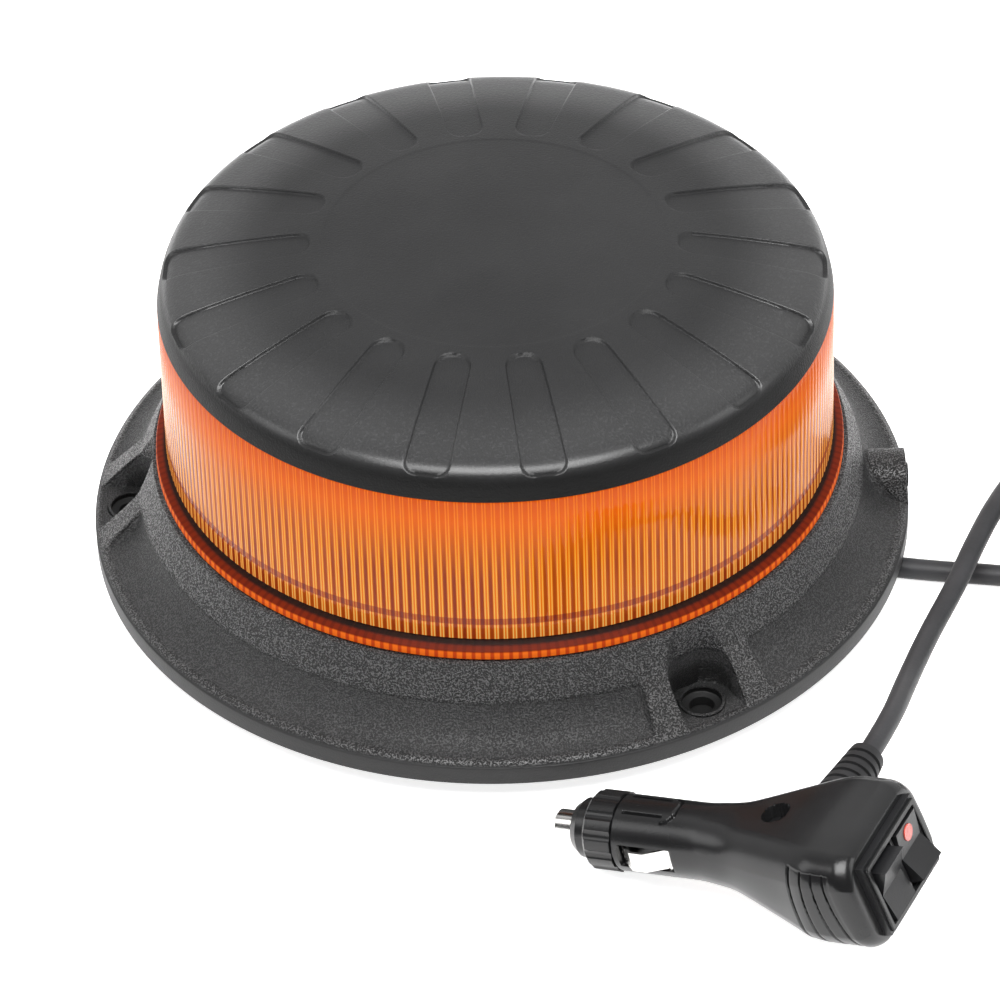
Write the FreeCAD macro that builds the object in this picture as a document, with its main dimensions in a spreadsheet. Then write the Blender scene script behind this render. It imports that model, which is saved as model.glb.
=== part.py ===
"""Low amber warning beacon on magnet feet, with a lead and a switched 12 volt accessory plug.

Millimetres and degrees.  Z is up, the origin is on the floor under the middle of the beacon.
The beacon is turned about Z.  The plug is modelled in a frame of its own, with X from its contact
tip to its switches and Z through its upper shell, and is then laid on the floor by plug_pose.
"""
import FreeCAD, Part
import Sketcher
import math
import os
import re

Vector = FreeCAD.Vector
Rotation = FreeCAD.Rotation
Placement = FreeCAD.Placement
UP = Vector(0, 0, 1)
TO_X = Rotation(Vector(0, 1, 0), 90)
TO_Y = Rotation(Vector(1, 0, 0), -90)

SIZES = {
    # base housing, heights counted from the floor
    "ride_height": 7.0, "flange_radius": 115.0, "band_top": 12.6, "rim_radius": 113.4,
    "rim_top": 13.8, "crease_radius": 102.0, "crease_top": 25.6, "seat_radius": 97.6,
    "seat_top": 34.4, "seat_thickness": 3.2, "skirt_wall": 3.0, "bowl_radius": 81.0,
    "bowl_wall": 3.0, "pan_thickness": 3.4, "scoop_depth": 2.6,
    # screw bosses of the base
    "boss_half_angle": 9.6, "screw_circle_radius": 105.0, "screw_hole_radius": 3.4,
    "pocket_radius": 9.3, "pocket_floor": 13.3, "pocket_wall": 3.0, "hole_ring_radius": 5.3,
    "hole_ring_height": 0.5,
    # blanked cable outlet in the skirt
    "hood_half_width": 9.0, "hood_top": 23.4, "hood_setback": 0.4, "hood_inner": 92.0,
    "outlet_radius": 3.0, "outlet_fit": 0.08, "outlet_depth": 7.0, "outlet_head_radius": 3.4,
    "outlet_head": 0.4, "outlet_lift": 1.8,
    # cable channel under the pan
    "channel_heading": -13.0, "channel_start": 36.0, "channel_half_width": 7.5,
    "channel_ceiling": 18.0, "channel_wall": 2.5, "lead_axis_height": 12.0,
    # magnet feet
    "foot_circle_radius": 60.0, "foot_radius": 21.5, "foot_height": 6.0, "foot_sole": 0.8,
    "foot_rim": 1.5, "foot_pad_radius": 14.0, "foot_screw_radius": 2.0, "foot_screw_head": 3.8,
    "foot_screw_head_height": 2.2, "foot_screw_reach": 5.6,
    # lens and its gasket
    "gasket_thickness": 0.7, "gasket_inner": 83.0, "gasket_outer": 95.5, "lip_radius": 96.5,
    "lip_side": 2.6, "lens_foot_inner": 84.0, "lens_foot_thickness": 3.0, "flute_bottom": 39.6,
    "flute_radius": 93.5, "groove_radius": 92.6, "lens_top_radius": 93.1, "lens_top": 86.6,
    "lens_bore": 90.3, "dome_screw_circle": 87.0, "dome_boss_radius": 3.4, "dome_boss_top": 44.4,
    "dome_screw_radius": 1.3, "dome_screw_reach": 8.5, "dome_screw_head": 2.7,
    "dome_screw_head_height": 2.0, "dome_screw_fit": 0.1,
    # cap
    "shoulder_radius": 91.4, "shoulder_top": 95.2, "cap_crown": 106.0, "cap_wall": 3.0,
    "cap_spigot_wall": 3.0, "cap_spigot_depth": 4.0, "cap_fit": 0.1, "groove_count": 18,
    "groove_depth": 0.9, "groove_turn": -2.6, "shoulder_round": 7.0, "groove_tip": 50.5,
    "groove_tip_half_width": 5.0,
    "groove_rim_half_width": 6.3, "groove_end": 93.8,
    # optics and electronics
    "drum_stem_radius": 24.0, "drum_flange_radius": 54.0, "drum_flange_thickness": 2.4,
    "drum_corner_radius": 46.0, "drum_top": 83.0, "drum_screw_circle": 19.0,
    "drum_screw_radius": 1.7, "drum_screw_reach": 10.0, "drum_screw_head": 3.2,
    "drum_screw_head_height": 2.4, "reflector_radius": 89.6, "reflector_bore": 47.0,
    "reflector_thickness": 1.2, "led_board_count": 8, "led_board_width": 30.0,
    "led_board_bottom": 49.0, "led_board_height": 28.0, "led_board_thickness": 1.6,
    "led_side": 3.6, "led_height": 1.8, "led_pitch": 9.0, "led_row_pitch": 11.0,
    "driver_inner": 31.0, "driver_outer": 74.0, "driver_thickness": 1.6, "spacer_height": 10.6,
    "spacer_radius": 3.4, "spacer_circle": 68.0, "spacer_screw_radius": 1.4,
    "spacer_screw_head": 2.8, "spacer_screw_head_height": 1.8, "capacitor_radius": 5.0,
    "capacitor_height": 13.0, "capacitor_circle": 46.0, "choke_major": 8.0, "choke_minor": 3.2,
    "vent_radius": 4.0, "vent_thickness": 0.8, "vent_circle": 64.0,
    # cable gland and internal leads
    "gland_radius": 4.0, "gland_flange_radius": 5.3, "gland_flange": 2.0, "gland_length": 20.0,
    "gland_end_radius": 3.9, "core_radius": 0.9, "core_gap": 1.4, "core_reach": 6.0,
    # cord
    "cord_radius": 3.0, "coil_x": 203.0, "coil_y": -2.4, "coil_mean_radius": 33.0,
    "coil_half_width": 9.2, "coil_height": 24.4, "coil_edge": 3.0, "tie_width": 12.0,
    "tie_thickness": 0.6, "tie_azimuth": 20.0,
    # plug, distances along its axis counted from the contact tip
    "plug_tip_x": 12.7, "plug_tip_y": -132.4, "plug_heading": -27.0, "plug_tilt": 13.0,
    "plug_clearance": 0.65,
    "tip_radius": 4.2, "tip_length": 8.9, "tip_flange_radius": 5.4, "tip_flange": 1.4,
    "tip_lead": 0.8, "nose_start": 6.6, "nose_radius": 8.0, "nose_front_radius": 6.4,
    "nose_bore": 4.6, "nose_chamber": 5.8, "nose_wall": 2.0, "nose_lead": 2.2,
    "collar_start": 12.0, "collar_end": 20.4, "collar_radius": 10.7, "collar_front": 1.2,
    "collar_lead": 1.0, "flute_count": 12, "flute_depth": 0.6, "flute_tool": 2.4,
    "thread_clearance": 0.3, "spigot_start": 14.2, "spigot_radius": 8.0, "chamber_radius": 6.3,
    "washer_start": 20.55, "washer_thickness": 0.3, "washer_radius": 9.9, "barrel_start": 21.0,
    "barrel_radius": 10.25, "shell_wall": 2.4, "parting_gap": 0.02,
    # stations along the swelling of the plug's shells, as rounded oblongs
    "neck_x": 45.0, "neck_width": 20.5, "neck_height": 20.5, "neck_corner": 10.0,
    "waist_x": 55.0, "waist_width": 23.6, "waist_height": 21.0, "waist_corner": 10.0,
    "swell_x": 65.0, "swell_width": 31.2, "swell_height": 25.0, "swell_corner": 10.6,
    "cheek_x": 75.0, "cheek_width": 38.4, "cheek_height": 28.8, "cheek_corner": 10.6,
    "head_x": 82.0, "head_width": 44.6, "head_height": 30.0, "head_corner": 10.0,
    "brow_x": 94.4, "brow_width": 44.6, "brow_height": 30.0, "brow_corner": 9.6,
    "tail_x": 98.2, "tail_width": 39.6, "tail_height": 26.0, "tail_corner": 7.0,
    "face_slant": 11.0,
    # details of the shells
    "tongue_front": 23.0, "tongue_rear": 36.8, "tongue_half_width": 3.9, "tongue_line": 0.9,
    "tongue_floor": 8.9, "shell_screw_x": 67.0, "shell_screw_pocket": 3.6,
    "shell_screw_seat": 7.2, "shell_screw_shank": 1.5, "shell_screw_reach": 14.0,
    "shell_screw_head": 2.8, "shell_screw_head_height": 2.0, "shell_post_radius": 5.0,
    "bulkhead_x": 53.8, "bulkhead_thickness": 1.6, "boot_pad_radius": 8.4,
    "boot_pad_inner": 11.8, "boot_pad_outer": 18.4,
    # fuse and its contacts
    "fuse_radius": 3.2, "fuse_start": 10.3, "fuse_length": 32.0, "fuse_end_cap": 6.0,
    "fuse_glass_radius": 3.0, "spring_length": 7.0, "spring_radius": 2.5, "spring_wire": 0.4,
    "spring_turns": 5.0, "rear_contact_radius": 5.0, "rear_contact_thickness": 1.2,
    # ground contacts
    "leaf_front": 23.2, "leaf_rear": 37.0, "leaf_width": 6.0, "leaf_thickness": 0.7,
    "leaf_crest": 11.7, "leaf_crest_front": 27.0, "leaf_crest_rear": 31.0, "leaf_root": 8.6,
    "leaf_clearance": 0.4, "leaf_pin_radius": 0.8, "leaf_pin_reach": 4.2, "leaf_pin_fit": 0.05,
    # switches
    "bezel_half_width": 15.8, "bezel_half_height": 10.8, "bezel_thickness": 2.2,
    "frame_half_width": 14.4, "frame_half_height": 9.7, "frame_depth": 11.0,
    "frame_wall": 1.2, "rocker_half_width": 5.8, "rocker_half_height": 7.4, "rocker_back": 4.0,
    "rocker_face": 3.2, "rocker_rise": 2.5, "rocker_tilt": 9.0, "pivot_inset": 3.0,
    "pivot_reach": 0.9, "pivot_hole": 0.6, "pivot_radius": 1.1, "pivot_fit": 0.05,
    "indicator_radius": 2.3, "indicator_height": 0.8, "indicator_seat": 0.5,
    "indicator_offset": 4.3, "terminal_length": 6.0, "terminal_width": 4.0,
    "terminal_thickness": 0.8,
    # bend protector of the lead at the plug
    "boot_x": 72.6, "boot_inner": 12.5, "boot_flange": 2.2, "boot_flange_radius": 6.8,
    "boot_neck_radius": 5.2, "boot_start": 18.6, "boot_radius": 7.2, "boot_end_radius": 4.9,
    "boot_end": 41.0, "boot_groove_count": 6, "boot_groove_width": 1.3, "boot_groove_depth": 1.0,
    "boot_relief": 0.4,
}

# azimuths of the three screw bosses, and of the magnet feet between the board spacers
BOSS_AZIMUTHS = (-60.0, 60.0, 180.0)
HEAD_STATIONS = ("neck", "waist", "swell", "cheek", "head", "brow", "tail")
SLANTED_STATIONS = ("brow", "tail")
SPACER_AZIMUTHS = (30.0, 120.0, 210.0, 300.0)
DOME_SCREW_COUNT = 6
DRUM_SCREW_COUNT = 4

doc = FreeCAD.newDocument("beacon")
sheet = doc.addObject("Spreadsheet::Sheet", "sizes")
for row, (alias, value) in enumerate(SIZES.items(), start=1):
    sheet.set(f"A{row}", alias)
    sheet.set(f"B{row}", str(value))
    sheet.setAlias(f"B{row}", alias)
doc.recompute()

pieces = []


def size(alias):
    """The number in the sheet's cell of that alias."""
    return float(getattr(sheet, alias))


def formula(text):
    """An expression over the sheet's cells, written with bare aliases."""
    return re.sub(r"[a-z][a-z_]*", lambda word: word.group() if word.group() not in SIZES
                  else "sizes." + word.group(), text)


def bind(thing, **formulas):
    """Bind properties of an object to formulas over the sheet."""
    for name, text in formulas.items():
        thing.setExpression(name, formula(text))
    return thing


def polar(radius, azimuth, height=0.0):
    """The point at a radius, an azimuth in degrees and a height."""
    angle = math.radians(azimuth)
    return Vector(radius * math.cos(angle), radius * math.sin(angle), height)


def moved(thing, base=Vector(), turn=Rotation()):
    """Place an object and return it."""
    thing.Placement = Placement(base, turn)
    return thing


def cylinder(name, radius, height, base=Vector(), turn=Rotation()):
    made = bind(doc.addObject("Part::Cylinder", name), Radius=radius, Height=height)
    return moved(made, base, turn)


def cone(name, radius, end_radius, height, base=Vector(), turn=Rotation()):
    made = bind(doc.addObject("Part::Cone", name), Radius1=radius, Radius2=end_radius,
                Height=height)
    return moved(made, base, turn)


def box(name, length, width, height, base=Vector(), turn=Rotation()):
    made = bind(doc.addObject("Part::Box", name), Length=length, Width=width, Height=height)
    return moved(made, base, turn)


def fused(name, shapes):
    made = doc.addObject("Part::MultiFuse", name)
    made.Shapes = shapes
    return made


def cut(name, base, tool):
    made = doc.addObject("Part::Cut", name)
    made.Base = base
    made.Tool = tool
    return made


def common(name, base, tool):
    made = doc.addObject("Part::Common", name)
    made.Base = base
    made.Tool = tool
    return made


def grouped(name, shapes):
    """Identical separate solids as one object."""
    made = doc.addObject("Part::Compound", name)
    made.Links = shapes
    return made


def origin_plane(body, role):
    return next(item for item in body.Origin.OriginFeatures if item.Role == role)


def outline(body, name, plane, corners):
    """A closed sketch of straight runs, each corner held by two formulas."""
    sketch = body.newObject("Sketcher::SketchObject", name)
    sketch.AttachmentSupport = [(origin_plane(body, plane), "")]
    sketch.MapMode = "FlatFace"
    count = len(corners)
    start = [Vector(60 + 40 * math.cos(2 * math.pi * k / count),
                    60 + 40 * math.sin(2 * math.pi * k / count), 0) for k in range(count)]
    for k in range(count):
        sketch.addGeometry(Part.LineSegment(start[k], start[(k + 1) % count]), False)
    for k in range(count):
        sketch.addConstraint(Sketcher.Constraint("Coincident", k, 2, (k + 1) % count, 1))
    for k, (across, along) in enumerate(corners):
        for kind, text, value in (("DistanceX", across, start[k].x), ("DistanceY", along, start[k].y)):
            index = sketch.addConstraint(Sketcher.Constraint(kind, k, 1, value))
            sketch.setExpression(f"Constraints[{index}]", formula(text))
    return sketch


def turned(name, corners):
    """A body turned about Z from an outline of (radius, height) formulas."""
    body = doc.addObject("PartDesign::Body", name)
    sketch = outline(body, name + "_outline", "XZ_Plane", corners)
    spin = body.newObject("PartDesign::Revolution", name + "_turned")
    spin.Profile = sketch
    spin.ReferenceAxis = (sketch, ["V_Axis"])
    spin.Angle = 360.0
    body.Tip = spin
    return body


def padded(name, corners, thickness, plane="XZ_Plane"):
    """A body padded both ways from an origin plane, from an outline of formulas."""
    body = doc.addObject("PartDesign::Body", name)
    sketch = outline(body, name + "_outline", plane, corners)
    pad = body.newObject("PartDesign::Pad", name + "_pad")
    pad.Profile = sketch
    pad.Midplane = True
    pad.setExpression("Length", formula(thickness))
    body.Tip = pad
    return body


def node(thing, label):
    """Enter a finished object as the sub-part of that label."""
    thing.Label = label
    pieces.append(thing)
    return thing


def plug_pose():
    """Where the plug lies: the lead props up its head, and its cap clears the floor."""
    turn = Rotation(UP, size("plug_heading")).multiply(Rotation(Vector(0, 1, 0), -size("plug_tilt")))
    tilt = math.radians(size("plug_tilt"))
    collar_edge = size("collar_start") + size("collar_lead")
    height = size("collar_radius") * math.cos(tilt) - collar_edge * math.sin(tilt)
    tip = Vector(size("plug_tip_x"), size("plug_tip_y"), height + size("plug_clearance"))
    return Placement(tip, turn)


def face_pose():
    """The plug's slanted rear face in its own frame, with the origin carried to the face's middle."""
    return Placement(Vector(size("tail_x"), 0, 0), Rotation(Vector(0, 1, 0), -size("face_slant")))


def plug_node(thing, label):
    """Enter a sub-part of the plug, carried from the plug's own frame to the floor."""
    thing.Placement = plug_pose().multiply(thing.Placement)
    return node(thing, label)


def skirt_blank():
    """Skirt, lens seat, bowl wall and pan as one turned outline, hollow below the skirt."""
    return turned("skirt_blank", [
        ("0", "ride_height"), ("bowl_radius", "ride_height"),
        ("bowl_radius", "seat_top - seat_thickness"),
        ("seat_radius - skirt_wall", "seat_top - seat_thickness"),
        ("crease_radius - skirt_wall", "crease_top - skirt_wall"),
        ("rim_radius - skirt_wall", "rim_top - skirt_wall"),
        ("flange_radius - skirt_wall", "band_top - skirt_wall"),
        ("flange_radius - skirt_wall", "ride_height"), ("flange_radius", "ride_height"),
        ("flange_radius", "band_top"), ("rim_radius", "rim_top"),
        ("crease_radius", "crease_top"), ("seat_radius", "seat_top"),
        ("bowl_radius - bowl_wall", "seat_top"),
        ("bowl_radius - bowl_wall", "ride_height + pan_thickness"),
        ("0", "ride_height + pan_thickness")])


def scoops():
    """Hollow sweeps in the lower skirt between the bosses, as sectors of a torus."""
    run = Vector(size("rim_radius") - size("crease_radius"), size("rim_top") - size("crease_top"), 0)
    chord = run.Length
    sag = size("scoop_depth")
    tool = (chord * chord / 4 + sag * sag) / (2 * sag)
    middle_radius = (size("rim_radius") + size("crease_radius")) / 2 - run.y / chord * (tool - sag)
    middle_height = (size("rim_top") + size("crease_top")) / 2 + run.x / chord * (tool - sag)
    made = []
    span = 360.0 / len(BOSS_AZIMUTHS) - 2 * size("boss_half_angle")
    for azimuth in BOSS_AZIMUTHS:
        ring = doc.addObject("Part::Torus", f"scoop_{len(made)}")
        ring.Radius1 = middle_radius
        ring.Radius2 = tool
        ring.Angle3 = span
        turn = Rotation(UP, azimuth + size("boss_half_angle"))
        made.append(moved(ring, Vector(0, 0, middle_height), turn))
    return fused("scoops", made)


def boss_pillars():
    """Solid pillars that back the screw pockets down to the flange's lower edge."""
    made = []
    depth = "rim_top - ride_height"
    for azimuth in BOSS_AZIMUTHS:
        turn = Rotation(UP, azimuth)
        centre = polar(size("screw_circle_radius"), azimuth, size("ride_height"))
        made.append(cylinder("pillar", "pocket_radius + pocket_wall", "seat_top - ride_height", centre))
        half = size("pocket_radius") + size("pocket_wall")
        corner = centre + turn.multVec(Vector(0, -half, 0))
        made.append(box("pillar_foot", "pocket_radius + pocket_wall", "2 * (pocket_radius + pocket_wall)",
                        depth, corner, turn))
    envelope = turned("pillar_envelope", [
        ("bowl_radius - 1", "ride_height"), ("flange_radius - 1", "ride_height"),
        ("flange_radius - 1", "band_top - skirt_wall + 0.5"),
        ("rim_radius - 1", "rim_top - skirt_wall + 0.5"),
        ("crease_radius - 1", "crease_top - skirt_wall + 0.5"),
        ("seat_radius - 1", "seat_top - seat_thickness + 0.5"),
        ("bowl_radius - 1", "seat_top - seat_thickness + 0.5")])
    return common("pillars", fused("pillar_stock", made), envelope)


def pocket_tools():
    """Screw pockets open towards the rim, and the screw holes below them."""
    made = []
    for azimuth in BOSS_AZIMUTHS:
        turn = Rotation(UP, azimuth)
        centre = polar(size("screw_circle_radius"), azimuth, size("pocket_floor"))
        made.append(cylinder("pocket", "pocket_radius", "seat_top - pocket_floor - 0.6", centre))
        corner = centre + turn.multVec(Vector(0, -size("pocket_radius"), 0))
        made.append(box("pocket_mouth", "2 * pocket_radius", "2 * pocket_radius",
                        "seat_top - pocket_floor", corner, turn))
    return fused("pockets", made)


def hole_tools():
    """Screw holes in the bosses, the pan and the lens seat, and the outlet's bore."""
    made = []
    for azimuth in BOSS_AZIMUTHS:
        made.append(cylinder("flange_hole", "screw_hole_radius", "seat_top",
                             polar(size("screw_circle_radius"), azimuth)))
        made.append(cylinder("foot_screw_hole", "foot_screw_radius", "foot_screw_reach + 2",
                             polar(size("foot_circle_radius"), azimuth, size("ride_height") - 1.5)))
    for k in range(DOME_SCREW_COUNT):
        made.append(cylinder("seat_hole", "dome_screw_radius + dome_screw_fit", "seat_thickness + 2",
                             polar(size("dome_screw_circle"), dome_azimuth(k),
                                   size("seat_top") - size("seat_thickness") - 1)))
    for k in range(DRUM_SCREW_COUNT):
        made.append(cylinder("drum_hole", "drum_screw_radius", "pan_thickness + 2",
                             polar(size("drum_screw_circle"), drum_azimuth(k), size("ride_height") - 1)))
    made.append(cylinder("vent_hole", "vent_radius - 1.5", "pan_thickness + 2",
                         Vector(0, size("vent_circle"), size("ride_height") - 1)))
    made.append(cylinder("outlet_bore", "outlet_radius", "outlet_depth + 2",
                         outlet_at(hood_reach() - size("outlet_depth")), TO_X))
    return fused("holes", made)


def dome_azimuth(k):
    return 360.0 / DOME_SCREW_COUNT * (k + 0.5) + 15.0


def drum_azimuth(k):
    return 360.0 / DRUM_SCREW_COUNT * (k + 0.5)


def hood_reach():
    return size("flange_radius") - size("hood_setback")


def hood_axis():
    return size("hood_top") - size("hood_half_width")


def outlet_at(reach):
    """Point on the side outlet's axis, which lies a little above the middle of the hood."""
    return Vector(reach, 0, hood_axis() + size("outlet_lift"))


def hood():
    """Half-round cowl of the side cable outlet, level with the crease, closed below."""
    top = cylinder("hood_round", "hood_half_width", "flange_radius - hood_setback - hood_inner",
                   Vector(size("hood_inner"), 0, hood_axis()), TO_X)
    legs = box("hood_legs", "flange_radius - hood_setback - hood_inner", "2 * hood_half_width",
               "hood_top - hood_half_width - ride_height",
               Vector(size("hood_inner"), -size("hood_half_width"), size("ride_height")))
    return fused("hood", [top, legs])


def channel_tool():
    """Cable channel under the pan, open towards the skirt."""
    turn = Rotation(UP, size("channel_heading"))
    base = turn.multVec(Vector(size("channel_start"), -size("channel_half_width"), 0))
    return box("channel", "bowl_radius + 2 - channel_start", "2 * channel_half_width",
               "channel_ceiling", base, turn)


def channel_cover():
    """Raised cover over the channel inside the bowl."""
    turn = Rotation(UP, size("channel_heading"))
    half = size("channel_half_width") + size("channel_wall")
    base = turn.multVec(Vector(size("channel_start") - size("channel_wall"), -half, size("ride_height")))
    return box("channel_cover", "bowl_radius - 1 - channel_start + channel_wall",
               "2 * (channel_half_width + channel_wall)",
               "channel_ceiling + channel_wall - ride_height", base, turn)


def base_housing():
    """Moulded base: skirt with bosses and outlet, lens seat, bowl, pan and cable channel."""
    scooped = cut("skirt_scooped", skirt_blank(), scoops())
    pads = [cylinder("foot_pad", "foot_pad_radius", "ride_height - foot_height + 0.5",
                     polar(size("foot_circle_radius"), azimuth, size("foot_height")))
            for azimuth in BOSS_AZIMUTHS]
    filled = fused("skirt_filled", [scooped, boss_pillars(), hood(), channel_cover()] + pads)
    pocketed = cut("skirt_pocketed", filled, pocket_tools())
    rings = [cylinder("hole_ring", "hole_ring_radius", "hole_ring_height + 0.5",
                      polar(size("screw_circle_radius"), azimuth, size("pocket_floor") - 0.5))
             for azimuth in BOSS_AZIMUTHS]
    ringed = fused("skirt_ringed", [pocketed] + rings)
    opened = cut("skirt_opened", ringed, channel_tool())
    gland_hole = cylinder("gland_hole", "gland_radius", "channel_wall + 1",
                          lead_point(size("channel_start") - size("channel_wall")), lead_turn())
    drilled = cut("skirt_drilled", opened, hole_tools())
    return node(cut("base", drilled, gland_hole), "base_housing")


def lead_turn():
    """Turns +Z to the heading of the cable channel."""
    return Rotation(UP, size("channel_heading")).multiply(TO_X)


def lead_point(distance):
    return polar(distance, size("channel_heading"), size("lead_axis_height"))


def outlet_blanking_plug():
    """Push-in plug that closes the side outlet."""
    shank = cylinder("outlet_shank", "outlet_radius - outlet_fit", "outlet_depth",
                     outlet_at(hood_reach() - size("outlet_depth")), TO_X)
    head = cylinder("outlet_cap", "outlet_head_radius", "outlet_head",
                    outlet_at(hood_reach()), TO_X)
    node(fused("outlet_plug", [shank, head]), "outlet_blanking_plug")


def magnet_feet():
    """Three rubber cups, each with a steel and magnet disc, screwed to the pan."""
    screws = []
    for number, azimuth in enumerate(BOSS_AZIMUTHS, start=1):
        centre = polar(size("foot_circle_radius"), azimuth)
        cup = cylinder(f"cup_{number}", "foot_radius", "foot_height", centre)
        room = cylinder(f"cup_room_{number}", "foot_radius - foot_rim", "foot_height",
                        centre + UP * size("foot_sole"))
        sole_hole = cylinder(f"sole_hole_{number}", "foot_screw_head + 0.6", "foot_height", centre - UP)
        shell = cut(f"cup_shell_{number}", cup, room)
        node(cut(f"foot_{number}", shell, sole_hole), f"rubber_foot_{number}")
        disc = cylinder(f"disc_stock_{number}", "foot_radius - foot_rim", "foot_height - foot_sole",
                        centre + UP * size("foot_sole"))
        bore = cylinder(f"disc_bore_{number}", "foot_screw_radius", "2 * foot_height", centre - UP)
        sink = cylinder(f"disc_sink_{number}", "foot_screw_head", "foot_screw_head_height",
                        centre + UP * size("foot_sole"))
        node(cut(f"disc_{number}", disc, fused(f"disc_cut_{number}", [bore, sink])),
             f"magnet_disc_{number}")
        head = cylinder(f"foot_screw_head_{number}", "foot_screw_head", "foot_screw_head_height",
                        centre + UP * size("foot_sole"))
        shank = cylinder(f"foot_screw_shank_{number}", "foot_screw_radius",
                         "ride_height - 1.5 - foot_sole + foot_screw_reach",
                         centre + UP * size("foot_sole"))
        screws.append(fused(f"foot_screw_{number}", [head, shank]))
    node(grouped("foot_screws", screws), "magnet_screws")


def lens_gasket():
    """Flat ring between the seat and the lens."""
    ring = turned("gasket_ring", [
        ("gasket_inner", "seat_top"), ("gasket_outer", "seat_top"),
        ("gasket_outer", "seat_top + gasket_thickness"),
        ("gasket_inner", "seat_top + gasket_thickness")])
    holes = [cylinder(f"gasket_hole_{k}", "dome_screw_radius + dome_screw_fit", "gasket_thickness + 2",
                      polar(size("dome_screw_circle"), dome_azimuth(k), size("seat_top") - 1))
             for k in range(DOME_SCREW_COUNT)]
    node(cut("gasket", ring, fused("gasket_holes", holes)), "lens_gasket")


def lens():
    """Amber ring: lip, groove, tall wall and an inner foot with blind screw bosses."""
    foot = "seat_top + gasket_thickness"
    wall = turned("lens_wall", [
        ("lens_foot_inner", foot), ("lip_radius", foot),
        ("lip_radius - 0.2", foot + " + lip_side"), ("groove_radius + 0.4", "flute_bottom - 0.7"),
        ("groove_radius", "flute_bottom"), ("flute_radius", "flute_bottom + 0.4"),
        ("lens_top_radius", "lens_top"), ("lens_bore", "lens_top"),
        ("lens_bore", foot + " + lens_foot_thickness"),
        ("lens_foot_inner", foot + " + lens_foot_thickness")])
    bosses = [cylinder(f"dome_boss_{k}", "dome_boss_radius",
                       "dome_boss_top - seat_top - gasket_thickness",
                       polar(size("dome_screw_circle"), dome_azimuth(k),
                             size("seat_top") + size("gasket_thickness")))
              for k in range(DOME_SCREW_COUNT)]
    holes = [cylinder(f"dome_hole_{k}", "dome_screw_radius", "dome_screw_reach",
                      polar(size("dome_screw_circle"), dome_azimuth(k),
                            size("seat_top") - size("seat_thickness")))
             for k in range(DOME_SCREW_COUNT)]
    node(cut("lens_ring", fused("lens_stock", [wall] + bosses), fused("dome_holes", holes)), "lens")
    screws = []
    for k in range(DOME_SCREW_COUNT):
        under = polar(size("dome_screw_circle"), dome_azimuth(k), size("seat_top") - size("seat_thickness"))
        shank = cylinder(f"dome_shank_{k}", "dome_screw_radius", "dome_screw_reach", under)
        head = cylinder(f"dome_head_{k}", "dome_screw_head", "dome_screw_head_height",
                        under - UP * size("dome_screw_head_height"))
        screws.append(fused(f"dome_screw_{k}", [shank, head]))
    node(grouped("dome_screw_set", screws), "dome_screws")


def dome(name, drop, inset, shoulder=0.0):
    """Crowned drum: a turned blank cut by a ball, lowered by drop and narrowed by inset, with
    its shoulder rounded if a radius is given."""
    blank = turned(name + "_blank", [
        ("0", "lens_top"), (f"lens_top_radius - ({inset})", "lens_top"),
        (f"shoulder_radius - ({inset})", "cap_crown + 1"), ("0", "cap_crown + 1")])
    rise = size("cap_crown") - size("shoulder_top")
    ball_radius = (size("shoulder_radius") ** 2 + rise ** 2) / (2 * rise)
    ball = doc.addObject("Part::Sphere", name + "_ball")
    ball.Radius = ball_radius
    moved(ball, Vector(0, 0, size("cap_crown") - ball_radius - drop))
    made = common(name, blank, ball)
    if not shoulder:
        return made
    doc.recompute()
    rim = [index for index, edge in enumerate(made.Shape.Edges, 1)
           if edge.Closed and edge.BoundBox.ZMin > size("lens_top") + 1]
    rounded = doc.addObject("Part::Fillet", name + "_rounded")
    rounded.Base = made
    rounded.Edges = [(rim[0], shoulder, shoulder)]
    return rounded


def top_cap():
    """Black cap: low dome with radial grooves that run over its shoulder, hollow below."""
    tools = []
    start = size("groove_tip") + size("groove_tip_half_width")
    for k in range(int(size("groove_count"))):
        azimuth = 360.0 / size("groove_count") * k + size("groove_turn")
        tools.append(cylinder(f"groove_tip_{k}", "groove_tip_half_width", "cap_crown - groove_end + 2",
                              polar(start, azimuth, size("groove_end"))))
        wedge = doc.addObject("Part::Wedge", f"groove_{k}")
        bind(wedge, Ymin="groove_tip + groove_tip_half_width", Ymax="shoulder_radius + 6",
             Zmin="0", Z2min="0", Zmax="cap_crown - groove_end + 2", Z2max="cap_crown - groove_end + 2",
             Xmin="-groove_tip_half_width", Xmax="groove_tip_half_width",
             X2min="-groove_rim_half_width", X2max="groove_rim_half_width")
        tools.append(moved(wedge, Vector(0, 0, size("groove_end")), Rotation(UP, azimuth - 90)))
    grooves = cut("groove_stock", fused("groove_tools", tools),
                  dome("groove_floor", size("groove_depth"), "groove_depth",
                       size("shoulder_round") - size("groove_depth")))
    grooved = cut("cap_grooved", dome("cap_dome", 0.0, "0", size("shoulder_round")), grooves)
    spigot = turned("cap_spigot", [
        ("lens_bore - cap_fit - cap_spigot_wall", "lens_top - cap_spigot_depth"),
        ("lens_bore - cap_fit", "lens_top - cap_spigot_depth"),
        ("lens_bore - cap_fit", "lens_top + 2"),
        ("lens_bore - cap_fit - cap_spigot_wall", "lens_top + 2")])
    room = dome("cap_inside", size("cap_wall"), "cap_wall + cap_spigot_wall")
    hollow = cut("cap_hollow", grooved, room)
    node(fused("cap", [hollow, spigot]), "top_cap")


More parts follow.
